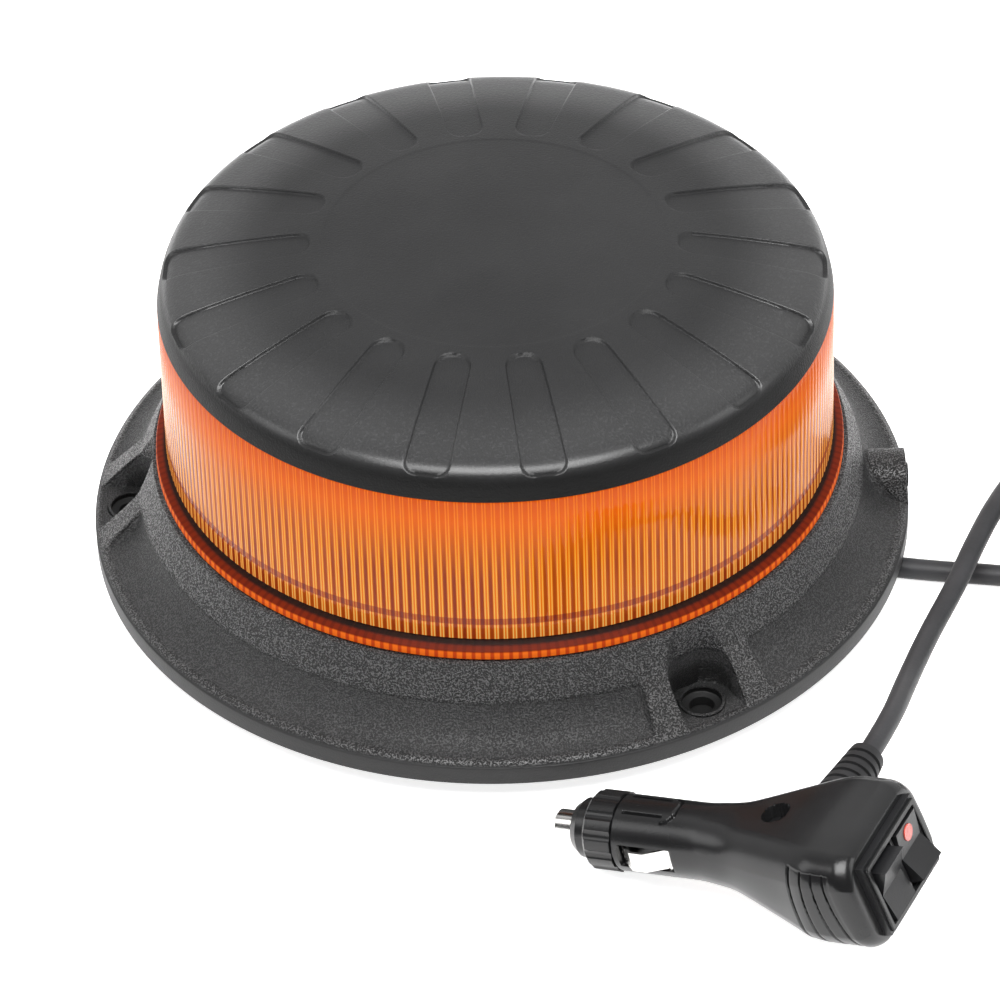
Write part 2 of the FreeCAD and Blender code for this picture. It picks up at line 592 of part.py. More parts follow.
def heat_sink_drum():
    """Aluminium column: stem on the pan, flange under the reflector, eight-sided head."""
    pan_top = size("ride_height") + size("pan_thickness")
    flange_bottom = size("dome_boss_top") - size("drum_flange_thickness")
    stem = cylinder("drum_stem", "drum_stem_radius",
                    "dome_boss_top - ride_height - pan_thickness", Vector(0, 0, pan_top))
    flange = cylinder("drum_flange", "drum_flange_radius", "drum_flange_thickness",
                      Vector(0, 0, flange_bottom))
    head = doc.addObject("Part::Prism", "drum_head")
    bind(head, Circumradius="drum_corner_radius", Height="drum_top - dome_boss_top")
    head.Polygon = int(size("led_board_count"))
    moved(head, Vector(0, 0, size("dome_boss_top")))
    bores = [cylinder(f"drum_bore_{k}", "drum_screw_radius", "drum_screw_reach",
                      polar(size("drum_screw_circle"), drum_azimuth(k), size("ride_height")))
             for k in range(DRUM_SCREW_COUNT)]
    node(cut("drum", fused("drum_stock", [stem, flange, head]), fused("drum_bores", bores)),
         "heat_sink_drum")
    screws = []
    for k in range(DRUM_SCREW_COUNT):
        under = polar(size("drum_screw_circle"), drum_azimuth(k), size("ride_height"))
        shank = cylinder(f"drum_shank_{k}", "drum_screw_radius", "drum_screw_reach", under)
        head = cylinder(f"drum_screw_head_{k}", "drum_screw_head", "drum_screw_head_height",
                        under - UP * size("drum_screw_head_height"))
        screws.append(fused(f"drum_screw_{k}", [shank, head]))
    node(grouped("drum_screw_set", screws), "drum_screws")


def led_boards():
    """One upright board on each face of the drum, with six diodes."""
    count = int(size("led_board_count"))
    face = size("drum_corner_radius") * math.cos(math.pi / count)
    diodes = []
    for number in range(1, count + 1):
        azimuth = 360.0 / count * (number - 0.5)
        turn = Rotation(UP, azimuth)
        base = turn.multVec(Vector(face, -size("led_board_width") / 2, size("led_board_bottom")))
        board = box(f"board_{number}", "led_board_thickness", "led_board_width", "led_board_height",
                    base, turn)
        node(board, f"led_board_{number}")
        for row in (-0.5, 0.5):
            for column in (-1, 0, 1):
                corner = Vector(face + size("led_board_thickness"),
                                column * size("led_pitch") - size("led_side") / 2,
                                size("led_board_bottom") + size("led_board_height") / 2
                                + row * size("led_row_pitch") - size("led_side") / 2)
                diodes.append(box(f"diode_{len(diodes)}", "led_height", "led_side", "led_side",
                                  turn.multVec(corner), turn))
    node(grouped("diodes", diodes), "leds")


def reflector_plate():
    """White ring that closes the electronics bay under the light chamber."""
    node(turned("reflector", [
        ("reflector_bore", "dome_boss_top"), ("reflector_radius", "dome_boss_top"),
        ("reflector_radius", "dome_boss_top + reflector_thickness"),
        ("reflector_bore", "dome_boss_top + reflector_thickness")]), "reflector_plate")


def driver_bay():
    """Driver board on four spacers, its screws and its larger components."""
    pan_top = size("ride_height") + size("pan_thickness")
    board_bottom = pan_top + size("spacer_height")
    board_top = board_bottom + size("driver_thickness")
    ring = turned("driver_ring", [
        ("driver_inner", "ride_height + pan_thickness + spacer_height"),
        ("driver_outer", "ride_height + pan_thickness + spacer_height"),
        ("driver_outer", "ride_height + pan_thickness + spacer_height + driver_thickness"),
        ("driver_inner", "ride_height + pan_thickness + spacer_height + driver_thickness")])
    spacers, screws, holes = [], [], []
    for k, azimuth in enumerate(SPACER_AZIMUTHS):
        foot = polar(size("spacer_circle"), azimuth, pan_top)
        column = cylinder(f"spacer_column_{k}", "spacer_radius", "spacer_height", foot)
        bore = cylinder(f"spacer_bore_{k}", "spacer_screw_radius", "spacer_height", foot)
        spacers.append(cut(f"spacer_{k}", column, bore))
        over = polar(size("spacer_circle"), azimuth, board_top)
        shank = cylinder(f"spacer_shank_{k}", "spacer_screw_radius",
                         "spacer_height + driver_thickness", foot)
        head = cylinder(f"spacer_head_{k}", "spacer_screw_head", "spacer_screw_head_height", over)
        screws.append(fused(f"spacer_screw_{k}", [shank, head]))
        holes.append(cylinder(f"board_hole_{k}", "spacer_screw_radius", "driver_thickness + 2",
                              foot + UP * (size("spacer_height") - 1)))
    node(cut("driver", ring, fused("driver_holes", holes)), "driver_board")
    node(grouped("spacer_set", spacers), "board_spacers")
    node(grouped("spacer_screw_set", screws), "board_screws")
    cans = [cylinder(f"can_{k}", "capacitor_radius", "capacitor_height",
                     polar(size("capacitor_circle"), azimuth, board_top))
            for k, azimuth in enumerate((60.0, 78.0, 96.0))]
    node(grouped("cans", cans), "capacitors")
    choke = doc.addObject("Part::Torus", "choke")
    bind(choke, Radius1="choke_major", Radius2="choke_minor")
    moved(choke, polar(size("capacitor_circle"), 180.0, board_top + size("choke_minor")))
    node(choke, "choke")


def cable_gland():
    """Rubber gland in the channel's end wall, tapered along the cord."""
    wall_start = size("channel_start") - size("channel_wall")
    neck = cylinder("gland_neck", "gland_radius", "channel_wall", lead_point(wall_start), lead_turn())
    flange = cylinder("gland_flange", "gland_flange_radius", "gland_flange",
                      lead_point(size("channel_start")), lead_turn())
    taper = cone("gland_taper", "gland_flange_radius - 0.4", "gland_end_radius", "gland_length",
                 lead_point(size("channel_start") + size("gland_flange")), lead_turn())
    node(fused("gland", [neck, flange, taper]), "cable_gland")


def internal_leads():
    """Two insulated cores from the gland up through the driver board's bore."""
    start = size("channel_start") - size("channel_wall")
    cores = []
    for k, side in enumerate((-1, 1)):
        turn = Rotation(UP, size("channel_heading"))
        offset = turn.multVec(Vector(0, side * size("core_gap"), 0))
        tip = lead_point(start) + offset
        knee = lead_point(start - size("core_reach")) + offset
        top = knee + UP * (size("ride_height") + size("pan_thickness") + size("spacer_height")
                           + size("driver_thickness") - size("lead_axis_height") + 3)
        cores.append(tube(f"core_{k}", [tip, knee, top], size("core_radius"), 0.3))
    node(grouped("cores", cores), "internal_leads")


def breather_vent():
    """Round membrane over the pan's breather hole."""
    node(cylinder("vent", "vent_radius", "vent_thickness",
                  Vector(0, size("vent_circle"), size("ride_height") + size("pan_thickness"))),
         "breather_vent")


def bend_radius(points, k, share):
    """Radius of the arc at a route's point: a share of the shorter run over tan of half the turn."""
    back = points[k - 1] - points[k]
    ahead = points[k + 1] - points[k]
    half_turn = (math.pi - back.getAngle(ahead)) / 2
    return share * min(back.Length, ahead.Length) / math.tan(half_turn)


def route_wire(points, share=0.45):
    """Straight runs joined by tangent arcs."""
    edges = []
    last = points[0]
    for k in range(1, len(points) - 1):
        back = (points[k - 1] - points[k]).normalize()
        ahead = (points[k + 1] - points[k]).normalize()
        reach = share * min((points[k - 1] - points[k]).Length, (points[k + 1] - points[k]).Length)
        radius = bend_radius(points, k, share)
        inward = (back + ahead).normalize()
        centre_distance = math.sqrt(reach * reach + radius * radius)
        enter = points[k] + back * reach
        leave = points[k] + ahead * reach
        middle = points[k] + inward * (centre_distance - radius)
        edges.append(Part.LineSegment(last, enter).toShape())
        edges.append(Part.Arc(enter, middle, leave).toShape())
        last = leave
    edges.append(Part.LineSegment(last, points[-1]).toShape())
    return Part.Wire(edges)


def tube(name, points, radius, share=0.45):
    """A round tube swept along a route."""
    spine = route_wire(points, share)
    ring = Part.Wire(Part.Circle(points[0], points[1] - points[0], radius).toShape())
    made = doc.addObject("Part::Feature", name)
    made.Shape = spine.makePipeShell([ring], True, False)
    return made


def base_route():
    """The cord from the gland, out under the flange and along the floor to the coil."""
    start = size("channel_start") + size("gland_flange") + size("gland_length")
    return [lead_point(start), lead_point(start + 11) + Vector(0, 0, -0.8),
            Vector(82.0, -18.2, 6.3), Vector(98.0, -22.3, 3.3), Vector(117.0, -26.6, 3.05),
            Vector(139.0, -29.9, 3.05), Vector(160.0, -34.4, 3.05), Vector(180.0, -37.4, 3.05),
            Vector(196.4, -40.7, 3.05)]


def plug_route():
    """The cord from the bend protector, over the other run, to the top of the coil."""
    pose = plug_pose()
    start = pose.multVec(Vector(size("boot_x"), size("boot_end"), 0))
    ahead = pose.multVec(Vector(size("boot_x"), size("boot_end") + 16, 0))
    return [start, ahead, Vector(108.0, -89.5, 17.0), Vector(116.0, -66.6, 14.2),
            Vector(124.4, -48.4, 14.6), Vector(131.2, -31.2, 15.4), Vector(138.6, -14.6, 16.2),
            Vector(150.0, 3.4, 17.8), Vector(167.0, 20.0, 20.6), Vector(183.4, 31.6, 21.3)]


def cord():
    """The free lead: two runs, the wound coil between them and the strap that ties it."""
    for name, label, points in (("base_run", "cord_base_run", base_route()),
                                ("plug_run", "cord_plug_run", plug_route())):
        made = tube(name, points, size("cord_radius"))
        radii = [round(bend_radius(points, k, 0.45), 1) for k in range(1, len(points) - 1)]
        length = route_wire(points).Length
        section = math.pi * size("cord_radius") ** 2
        print(label, "bend radii", radii, "length", round(length, 1), "volume over section by length",
              round(made.Shape.Volume / (section * length), 4))
        node(made, label)
    ring = turned("coil_ring", [
        ("coil_mean_radius - coil_half_width + coil_edge", "0"),
        ("coil_mean_radius + coil_half_width - coil_edge", "0"),
        ("coil_mean_radius + coil_half_width", "coil_edge"),
        ("coil_mean_radius + coil_half_width", "coil_height - coil_edge"),
        ("coil_mean_radius + coil_half_width - coil_edge", "coil_height"),
        ("coil_mean_radius - coil_half_width + coil_edge", "coil_height"),
        ("coil_mean_radius - coil_half_width", "coil_height - coil_edge"),
        ("coil_mean_radius - coil_half_width", "coil_edge")])
    centre = Vector(size("coil_x"), size("coil_y"), 0)
    moved(ring, centre)
    turn = Rotation(UP, size("tie_azimuth"))

    def strap_block(name, grow):
        """The strap's outline round the coil's section, as a block."""
        corner = Vector(size("coil_mean_radius") - size("coil_half_width") - grow,
                        -size("tie_width") / 2, 0)
        return box(name, f"2 * coil_half_width + 2 * {grow}", "tie_width",
                   f"coil_height + {grow}", centre + turn.multVec(corner), turn)

    outer = strap_block("tie_outer", size("tie_thickness"))
    room = box("tie_room", "2 * coil_half_width", "tie_width", "coil_height - tie_thickness",
               centre + turn.multVec(Vector(size("coil_mean_radius") - size("coil_half_width"),
                                            -size("tie_width") / 2, size("tie_thickness"))), turn)
    strap = cut("tie", outer, room)
    node(cut("coil", ring, strap), "cord_coil")
    node(strap, "coil_tie")


def oblong(name, station, inset):
    """A section of the plug's shells as a closed wire, drawn in by an inset."""
    half_width = size(station + "_width") / 2 - inset
    half_height = size(station + "_height") / 2 - inset
    corner = size(station + "_corner") - inset
    flat_y = half_width - corner
    flat_z = half_height - corner
    diagonal = corner * math.sqrt(0.5)
    arcs = []
    for across_way, up_way in ((1, 1), (-1, 1), (-1, -1), (1, -1)):
        side = Vector(0, across_way * half_width, up_way * flat_z)
        middle = Vector(0, across_way * (flat_y + diagonal), up_way * (flat_z + diagonal))
        crown = Vector(0, across_way * flat_y, up_way * half_height)
        ends = (side, crown) if across_way == up_way else (crown, side)
        arcs.append((ends[0], middle, ends[1]))
    edges = []
    for k, (start, middle, end) in enumerate(arcs):
        edges.append(Part.Arc(start, middle, end).toShape())
        edges.append(Part.LineSegment(end, arcs[(k + 1) % 4][0]).toShape())
    made = doc.addObject("Part::Feature", name)
    made.Shape = Part.Wire(edges)
    slant = -size("face_slant") if station in SLANTED_STATIONS else 0.0
    return moved(made, Vector(size(station + "_x"), 0, 0), Rotation(Vector(0, 1, 0), slant))


def head_loft(name, stations, inset):
    """The swelling of the shells between stations, drawn in by an inset."""
    loft = doc.addObject("Part::Loft", name)
    loft.Sections = [oblong(f"{name}_{station}", station, inset) for station in stations]
    loft.Solid = True
    loft.Ruled = True
    return loft


def along(name, radius, start, end, y=0.0):
    """A cylinder along the plug's axis between two formulas of distance."""
    first = float(doc.sizes.evalExpression(formula(start)))
    return cylinder(name, radius, f"({end}) - ({start})", Vector(first, y, 0), TO_X)


def across(name, radius, start, end, x):
    """A cylinder along the plug's Y between two formulas of distance."""
    first = float(doc.sizes.evalExpression(formula(start)))
    return cylinder(name, radius, f"({end}) - ({start})", Vector(x, first, 0), TO_Y)


def shell_blank():
    """Both shells in one: spigot, barrel and head, hollow, with their inner ribs."""
    outer = fused("shell_outer", [
        along("spigot", "spigot_radius", "spigot_start", "barrel_start"),
        along("barrel", "barrel_radius", "barrel_start", "neck_x"),
        head_loft("head", HEAD_STATIONS, 0.0)])
    hollow = fused("shell_hollow", [
        along("spigot_room", "chamber_radius", "spigot_start - 1", "barrel_start + shell_wall"),
        along("barrel_room", "barrel_radius - shell_wall", "barrel_start + shell_wall",
              "neck_x + 0.2"),
        head_loft("head_room", HEAD_STATIONS[:-1], size("shell_wall"))])
    half = size("head_width") / 2
    bulkhead = box("bulkhead", "bulkhead_thickness", "head_width", "head_width",
                   Vector(size("bulkhead_x"), -half, -half))
    post = cylinder("shell_post", "shell_post_radius", "head_width",
                    Vector(size("shell_screw_x"), 0, -half))
    ribs = common("shell_ribs", fused("rib_stock", [bulkhead, post]), outer)
    pad = across("boot_pad", "boot_pad_radius", "boot_pad_inner", "boot_pad_outer", size("boot_x"))
    return fused("shell_filled", [cut("shell_walls", outer, hollow), ribs, pad])


def shell_openings():
    """Slots, grooves, holes and pockets cut from the shells."""
    made = []
    reach = size("leaf_rear") - size("leaf_front") + 2 * size("leaf_clearance") + 1
    half = size("leaf_width") / 2 + size("leaf_clearance")
    for k, side in enumerate((0, 180)):
        turn = Rotation(Vector(1, 0, 0), side)
        corner = Vector(size("leaf_front") - size("leaf_clearance"), size("chamber_radius") - 1, -half)
        slot = doc.addObject("Part::Box", f"leaf_slot_{k}")
        bind(slot, Height="leaf_width + 2 * leaf_clearance", Width="barrel_radius")
        slot.Length = reach
        made.append(moved(slot, turn.multVec(corner), turn))
        pin = turn.multVec(Vector(size("leaf_rear"), size("leaf_root") - size("leaf_thickness") / 2,
                                  -size("leaf_pin_reach")))
        made.append(cylinder(f"leaf_pin_hole_{k}", "leaf_pin_radius + leaf_pin_fit",
                             "2 * leaf_pin_reach", pin, turn))
    frame_edge = box("tongue_edge", "tongue_rear - tongue_front", "2 * tongue_half_width",
                     "barrel_radius",
                     Vector(size("tongue_front"), -size("tongue_half_width"), size("tongue_floor")))
    tongue = box("tongue", "tongue_rear - tongue_front - tongue_line",
                 "2 * (tongue_half_width - tongue_line)", "barrel_radius",
                 Vector(size("tongue_front"), size("tongue_line") - size("tongue_half_width"),
                        size("tongue_floor")))
    made.append(cut("tongue_groove", frame_edge, tongue))
    seat = Vector(size("shell_screw_x"), 0, size("shell_screw_seat"))
    made.append(cylinder("screw_pocket", "shell_screw_pocket", "head_width", seat))
    made.append(cylinder("screw_bore", "shell_screw_shank", "shell_screw_reach + 1",
                         seat - UP * size("shell_screw_reach")))
    boot_x = size("boot_x")
    made.append(across("boot_hole", "boot_neck_radius", "boot_pad_inner - 1", "boot_start", boot_x))
    made.append(across("boot_pocket", "boot_flange_radius", "boot_pad_inner - 1",
                       "boot_inner + boot_flange", boot_x))
    made.append(across("boot_room", "boot_radius + boot_relief", "boot_pad_outer", "head_width", boot_x))
    corner = Vector(-size("frame_depth"), -size("frame_half_width"), -size("frame_half_height"))
    opening = box("bezel_opening", "2 * frame_depth", "2 * frame_half_width",
                  "2 * frame_half_height", corner)
    opening.Placement = face_pose().multiply(opening.Placement)
    made.append(opening)
    return fused("shell_openings", made)


def plug_shells():
    """Upper and lower shells, parted on the plug's mid plane."""
    whole = cut("shell_open", shell_blank(), shell_openings())
    half = size("head_width")
    for name, start in (("upper", size("parting_gap") / 2), ("lower", -half - size("parting_gap") / 2)):
        side = box(f"{name}_side", "tail_x + 5", "2 * head_width", "head_width", Vector(1, -half, start))
        plug_node(common(f"{name}_shell", whole, side), f"plug_{name}_shell")
    seat = Vector(size("shell_screw_x"), 0, size("shell_screw_seat"))
    head = cylinder("shell_screw_head", "shell_screw_head", "shell_screw_head_height", seat)
    slot = box("shell_screw_slot", "0.8", "2 * shell_screw_head", "0.8",
               seat + Vector(-0.4, -size("shell_screw_head"), size("shell_screw_head_height") - 0.8))
    shank = cylinder("shell_screw_shank", "shell_screw_shank", "shell_screw_reach",
                     seat - UP * size("shell_screw_reach"))
    plug_node(cut("shell_screw", fused("shell_screw_stock", [head, shank]), slot), "shell_screw")


def fuse_cap():
    """Screwed cap: fluted collar, nose with the tip's bore, and the washer behind it."""
    outer = fused("cap_outer", [
        cone("cap_nose_front", "nose_front_radius", "nose_radius", "nose_lead",
             Vector(size("nose_start"), 0, 0), TO_X),
        along("cap_nose", "nose_radius", "nose_start + nose_lead", "collar_start"),
        cone("collar_edge", "collar_radius - collar_lead", "collar_radius", "collar_lead",
             Vector(size("collar_start"), 0, 0), TO_X),
        along("cap_collar", "collar_radius", "collar_start + collar_lead", "collar_end")])
    rooms = [along("cap_bore", "nose_bore", "nose_start - 1", "nose_start + nose_wall + 1"),
             along("cap_chamber", "nose_chamber", "nose_start + nose_wall",
                   "collar_start + collar_front + 1"),
             along("cap_thread", "spigot_radius + thread_clearance", "collar_start + collar_front",
                   "collar_end + 1")]
    count = int(size("flute_count"))
    distance = size("collar_radius") + size("flute_tool") - size("flute_depth")
    for k in range(count):
        spot = Rotation(Vector(1, 0, 0), 360.0 / count * k).multVec(Vector(0, distance, 0))
        rooms.append(cylinder(f"collar_flute_{k}", "flute_tool", "collar_end - collar_start + 2",
                              Vector(size("collar_start") - 1, spot.y, spot.z), TO_X))
    plug_node(cut("fuse_cap", outer, fused("cap_rooms", rooms)), "fuse_cap")
    disc = along("washer_disc", "washer_radius", "washer_start", "washer_start + washer_thickness")
    eye = along("washer_eye", "spigot_radius + thread_clearance", "washer_start - 1",
                "washer_start + 1")
    plug_node(cut("washer", disc, eye), "cap_washer")


def fuse_train():
    """Contact tip, fuse and spring, which move together, and the fixed contact behind them."""
    pin = along("tip_pin", "tip_radius", "tip_lead", "tip_length")
    lead = cone("tip_edge", "tip_radius - 0.7", "tip_radius", "tip_lead", Vector(), TO_X)
    flange = along("tip_flange", "tip_flange_radius", "tip_length", "tip_length + tip_flange")
    plug_node(fused("tip", [lead, pin, flange]), "contact_tip")
    plug_node(along("fuse_glass", "fuse_glass_radius", "fuse_start + fuse_end_cap",
                    "fuse_start + fuse_length - fuse_end_cap"), "fuse_tube")
    ends = [along("fuse_end_front", "fuse_radius", "fuse_start", "fuse_start + fuse_end_cap"),
            along("fuse_end_rear", "fuse_radius", "fuse_start + fuse_length - fuse_end_cap",
                  "fuse_start + fuse_length")]
    plug_node(grouped("fuse_ends", ends), "fuse_caps")
    wire = size("spring_wire")
    height = size("spring_length") - 2 * wire
    helix = Part.makeHelix(height / size("spring_turns"), height, size("spring_radius"))
    ring = Part.Wire(Part.Circle(Vector(size("spring_radius"), 0, 0), Vector(0, 1, 0), wire).toShape())
    spring = doc.addObject("Part::Feature", "spring")
    spring.Shape = Part.Wire(helix.Edges).makePipeShell([ring], True, True)
    moved(spring, Vector(size("fuse_start") + size("fuse_length") + wire, 0, 0), TO_X)
    plug_node(spring, "fuse_spring")
    plug_node(along("rear_contact", "rear_contact_radius", "bulkhead_x - rear_contact_thickness",
                    "bulkhead_x"), "rear_fuse_contact")


def ground_contacts():
    """Bent spring leaves on both flanks of the barrel, each on a cross pin."""
    for label, side in (("right", 0), ("left", 180)):
        leaf = padded(f"leaf_{label}", [
            ("leaf_front", "leaf_root - leaf_thickness"), ("leaf_front", "leaf_root"),
            ("leaf_crest_front", "leaf_crest"), ("leaf_crest_rear", "leaf_crest"),
            ("leaf_rear", "leaf_root"), ("leaf_rear", "leaf_root - leaf_thickness"),
            ("leaf_crest_rear - leaf_thickness / 3", "leaf_crest - leaf_thickness"),
            ("leaf_crest_front + leaf_thickness / 3", "leaf_crest - leaf_thickness")],
            "leaf_width", "XY_Plane")
        pin = cylinder(f"leaf_pin_{label}", "leaf_pin_radius", "2 * leaf_pin_reach",
                       Vector(size("leaf_rear"), size("leaf_root") - size("leaf_thickness") / 2,
                              -size("leaf_pin_reach")))
        made = moved(fused(f"contact_{label}", [leaf, pin]), Vector(), Rotation(Vector(1, 0, 0), side))
        plug_node(made, f"ground_contact_{label}")


def rocker(name, side, tilt, seat=None):
    """A rocker on its cross pins, laid over by the tilt; the seat is cut from its face."""
    block = padded(name + "_block", [
        ("-rocker_back", "-rocker_half_height"), ("rocker_face + rocker_rise", "-rocker_half_height"),
        ("rocker_face", "0"), ("rocker_face + rocker_rise", "rocker_half_height"),
        ("-rocker_back", "rocker_half_height")], "2 * rocker_half_width")
    pins = cylinder(name + "_pins", "pivot_radius", "2 * (rocker_half_width + pivot_reach)",
                    Vector(0, -size("rocker_half_width") - size("pivot_reach"), 0), TO_Y)
    made = fused(name, [block, pins])
    if seat:
        made = cut(name + "_seated", made, seat)
    return moved(made, rocker_pivot(side), Rotation(Vector(0, 1, 0), tilt))


def rocker_pivot(side):
    """Centre of a rocker on its pivot line in the face's frame, on the side given by the sign."""
    middle = (size("frame_half_width") - size("frame_wall") / 2) / 2
    return Vector(size("bezel_thickness") - size("pivot_inset"), side * middle, 0)


def face_node(thing, label):
    """Enter a sub-part of the switches, carried from the face's frame to the floor."""
    thing.Placement = face_pose().multiply(thing.Placement)
    return plug_node(thing, label)


def switches():
    """Frame in the plug's rear face with a lit power rocker and a sprung pattern rocker."""
    half_width = size("frame_half_width")
    half_height = size("frame_half_height")
    wall = size("frame_wall")
    back = -size("frame_depth")
    bezel = box("bezel", "bezel_thickness", "2 * bezel_half_width", "2 * bezel_half_height",
                Vector(0, -size("bezel_half_width"), -size("bezel_half_height")))
    body = box("frame_body", "frame_depth", "2 * frame_half_width", "2 * frame_half_height",
               Vector(back, -half_width, -half_height))
    rooms = []
    for k, near in enumerate((wall / 2, wall - half_width)):
        rooms.append(box(f"rocker_room_{k}", "frame_depth + bezel_thickness",
                         "frame_half_width - frame_wall * 1.5",
                         "2 * (frame_half_height - frame_wall)",
                         Vector(back + wall, near, wall - half_height)))
    rooms.append(across("pivot_bore", "pivot_radius + pivot_fit",
                        "-(frame_half_width - frame_wall + pivot_hole)",
                        "frame_half_width - frame_wall + pivot_hole", rocker_pivot(1).x))
    face_node(cut("frame", fused("frame_stock", [bezel, body]), fused("frame_rooms", rooms)),
              "switch_frame")
    slope = math.degrees(math.atan2(size("rocker_rise"), size("rocker_half_height")))
    share = size("indicator_offset") / size("rocker_half_height")
    face = Vector(size("rocker_face") + share * size("rocker_rise"), 0, size("indicator_offset"))
    lean = Rotation(Vector(0, 1, 0), slope)
    sunk = face - lean.multVec(Vector(size("indicator_seat"), 0, 0))
    seat = cylinder("indicator_seat", "indicator_radius", "2 * indicator_height", sunk,
                    lean.multiply(TO_X))
    face_node(rocker("rocker_power", 1, -size("rocker_tilt"), seat), "power_rocker")
    face_node(rocker("rocker_pattern", -1, size("rocker_tilt")), "pattern_rocker")
    laid = Rotation(Vector(0, 1, 0), -size("rocker_tilt"))
    face_node(cylinder("indicator", "indicator_radius", "indicator_height",
                       rocker_pivot(1) + laid.multVec(sunk), laid.multiply(lean).multiply(TO_X)),
              "indicator_lens")
    tabs = [box(f"terminal_{k}", "terminal_length", "terminal_width", "terminal_thickness",
                Vector(back - size("terminal_length"), side * rocker_pivot(1).y
                       - size("terminal_width") / 2, height))
            for k, (side, height) in enumerate(((-1, -5.0), (-1, 4.2), (1, -5.0), (1, 4.2)))]
    face_node(grouped("terminals", tabs), "switch_terminals")


def plug_boot():
    """Grooved bend protector where the lead leaves the plug's flank."""
    x = size("boot_x")
    flange = across("boot_flange", "boot_flange_radius", "boot_inner", "boot_inner + boot_flange", x)
    neck = across("boot_neck", "boot_neck_radius", "boot_inner + boot_flange", "boot_start", x)
    body = cone("boot_body", "boot_radius", "boot_end_radius", "boot_end - boot_start",
                Vector(x, size("boot_start"), 0), TO_Y)
    rings = []
    count = int(size("boot_groove_count"))
    pitch = (size("boot_end") - size("boot_start")) / (count + 1)
    for k in range(count):
        y = size("boot_start") + pitch * (k + 1) - size("boot_groove_width") / 2
        share = (k + 1) / (count + 1)
        radius = (size("boot_radius") + share * (size("boot_end_radius") - size("boot_radius"))
                  - size("boot_groove_depth"))
        wide = cylinder(f"groove_wide_{k}", "boot_radius + 1", "boot_groove_width",
                        Vector(x, y, 0), TO_Y)
        core = doc.addObject("Part::Cylinder", f"groove_core_{k}")
        core.Radius = radius
        bind(core, Height="boot_groove_width")
        rings.append(cut(f"boot_groove_{k}", wide, moved(core, Vector(x, y, 0), TO_Y)))
    plug_node(cut("boot", fused("boot_stock", [flange, neck, body]), fused("boot_grooves", rings)),
              "plug_boot")


base_housing()
outlet_blanking_plug()
magnet_feet()
lens_gasket()
lens()
top_cap()
reflector_plate()
heat_sink_drum()
led_boards()
driver_bay()
breather_vent()
cable_gland()
internal_leads()
plug_shells()
fuse_cap()
fuse_train()
ground_contacts()
switches()
plug_boot()
cord()

doc.recompute()
for item in doc.Objects:
    if "Invalid" in item.State or "Error" in item.State:
        raise SystemExit(f"{item.Label} did not recompute: {item.State}")
for piece in pieces:
    if piece.Shape.isNull() or not piece.Shape.isValid() or not piece.Shape.Solids:
        raise SystemExit(f"{piece.Label} has no valid shape")

os.makedirs("parts", exist_ok=True)
for piece in pieces:
    piece.Shape.exportStep(f"parts/{piece.Label}.step")
print(len(pieces), "sub-parts written")
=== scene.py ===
"""Low amber warning beacon, its coiled lead and its accessory plug: formed surfaces and finishes.

Lengths in the shape functions are millimetres, and MM turns them to metres for Blender.  Heights
count from the floor.  The beacon's azimuths turn about Z from +X.  The plug has a frame of its own:
X from its contact tip to its switches, Y out of the flank that the lead leaves, Z through its top.
"""
import math

import bpy
import numpy as np
from mathutils import Matrix, Vector


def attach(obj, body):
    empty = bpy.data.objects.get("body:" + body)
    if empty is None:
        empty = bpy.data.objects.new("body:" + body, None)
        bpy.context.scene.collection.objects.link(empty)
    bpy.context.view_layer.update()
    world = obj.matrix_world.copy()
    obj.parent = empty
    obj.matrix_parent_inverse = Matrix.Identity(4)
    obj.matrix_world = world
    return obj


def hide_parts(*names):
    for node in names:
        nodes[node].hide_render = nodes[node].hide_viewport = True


MM = 0.001
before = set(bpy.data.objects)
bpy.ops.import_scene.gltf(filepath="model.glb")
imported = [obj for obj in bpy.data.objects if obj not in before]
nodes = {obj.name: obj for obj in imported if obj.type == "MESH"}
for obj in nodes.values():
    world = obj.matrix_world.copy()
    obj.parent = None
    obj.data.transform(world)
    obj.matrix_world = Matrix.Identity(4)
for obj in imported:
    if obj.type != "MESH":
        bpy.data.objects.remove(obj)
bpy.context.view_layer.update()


# ---- camera ----

CAMERA_PLACE = (0.0, -1.24153, 1.02881)
CAMERA_RIGHT = Vector((0.99951841, -0.01943977, -0.02418777))
CAMERA_UP = Vector((0.03103008, 0.63354445, 0.7730838))
CAMERA_LENS, SENSOR_WIDTH, FAR_CLIP = 203.87, 36.0, 20.0


def aimed_camera():
    """A long lens looking down at the beacon from the front, rolled by a little over a degree."""
    back = CAMERA_RIGHT.cross(CAMERA_UP)
    turn = Matrix((CAMERA_RIGHT, CAMERA_UP, back)).transposed().to_4x4()
    data = bpy.data.cameras.new("camera")
    data.lens = CAMERA_LENS
    data.sensor_width = SENSOR_WIDTH
    data.clip_end = FAR_CLIP
    camera = bpy.data.objects.new("camera", data)
    camera.matrix_world = Matrix.Translation(CAMERA_PLACE) @ turn
    bpy.context.scene.collection.objects.link(camera)
    bpy.context.scene.camera = camera


# ---- meshes from grids ----

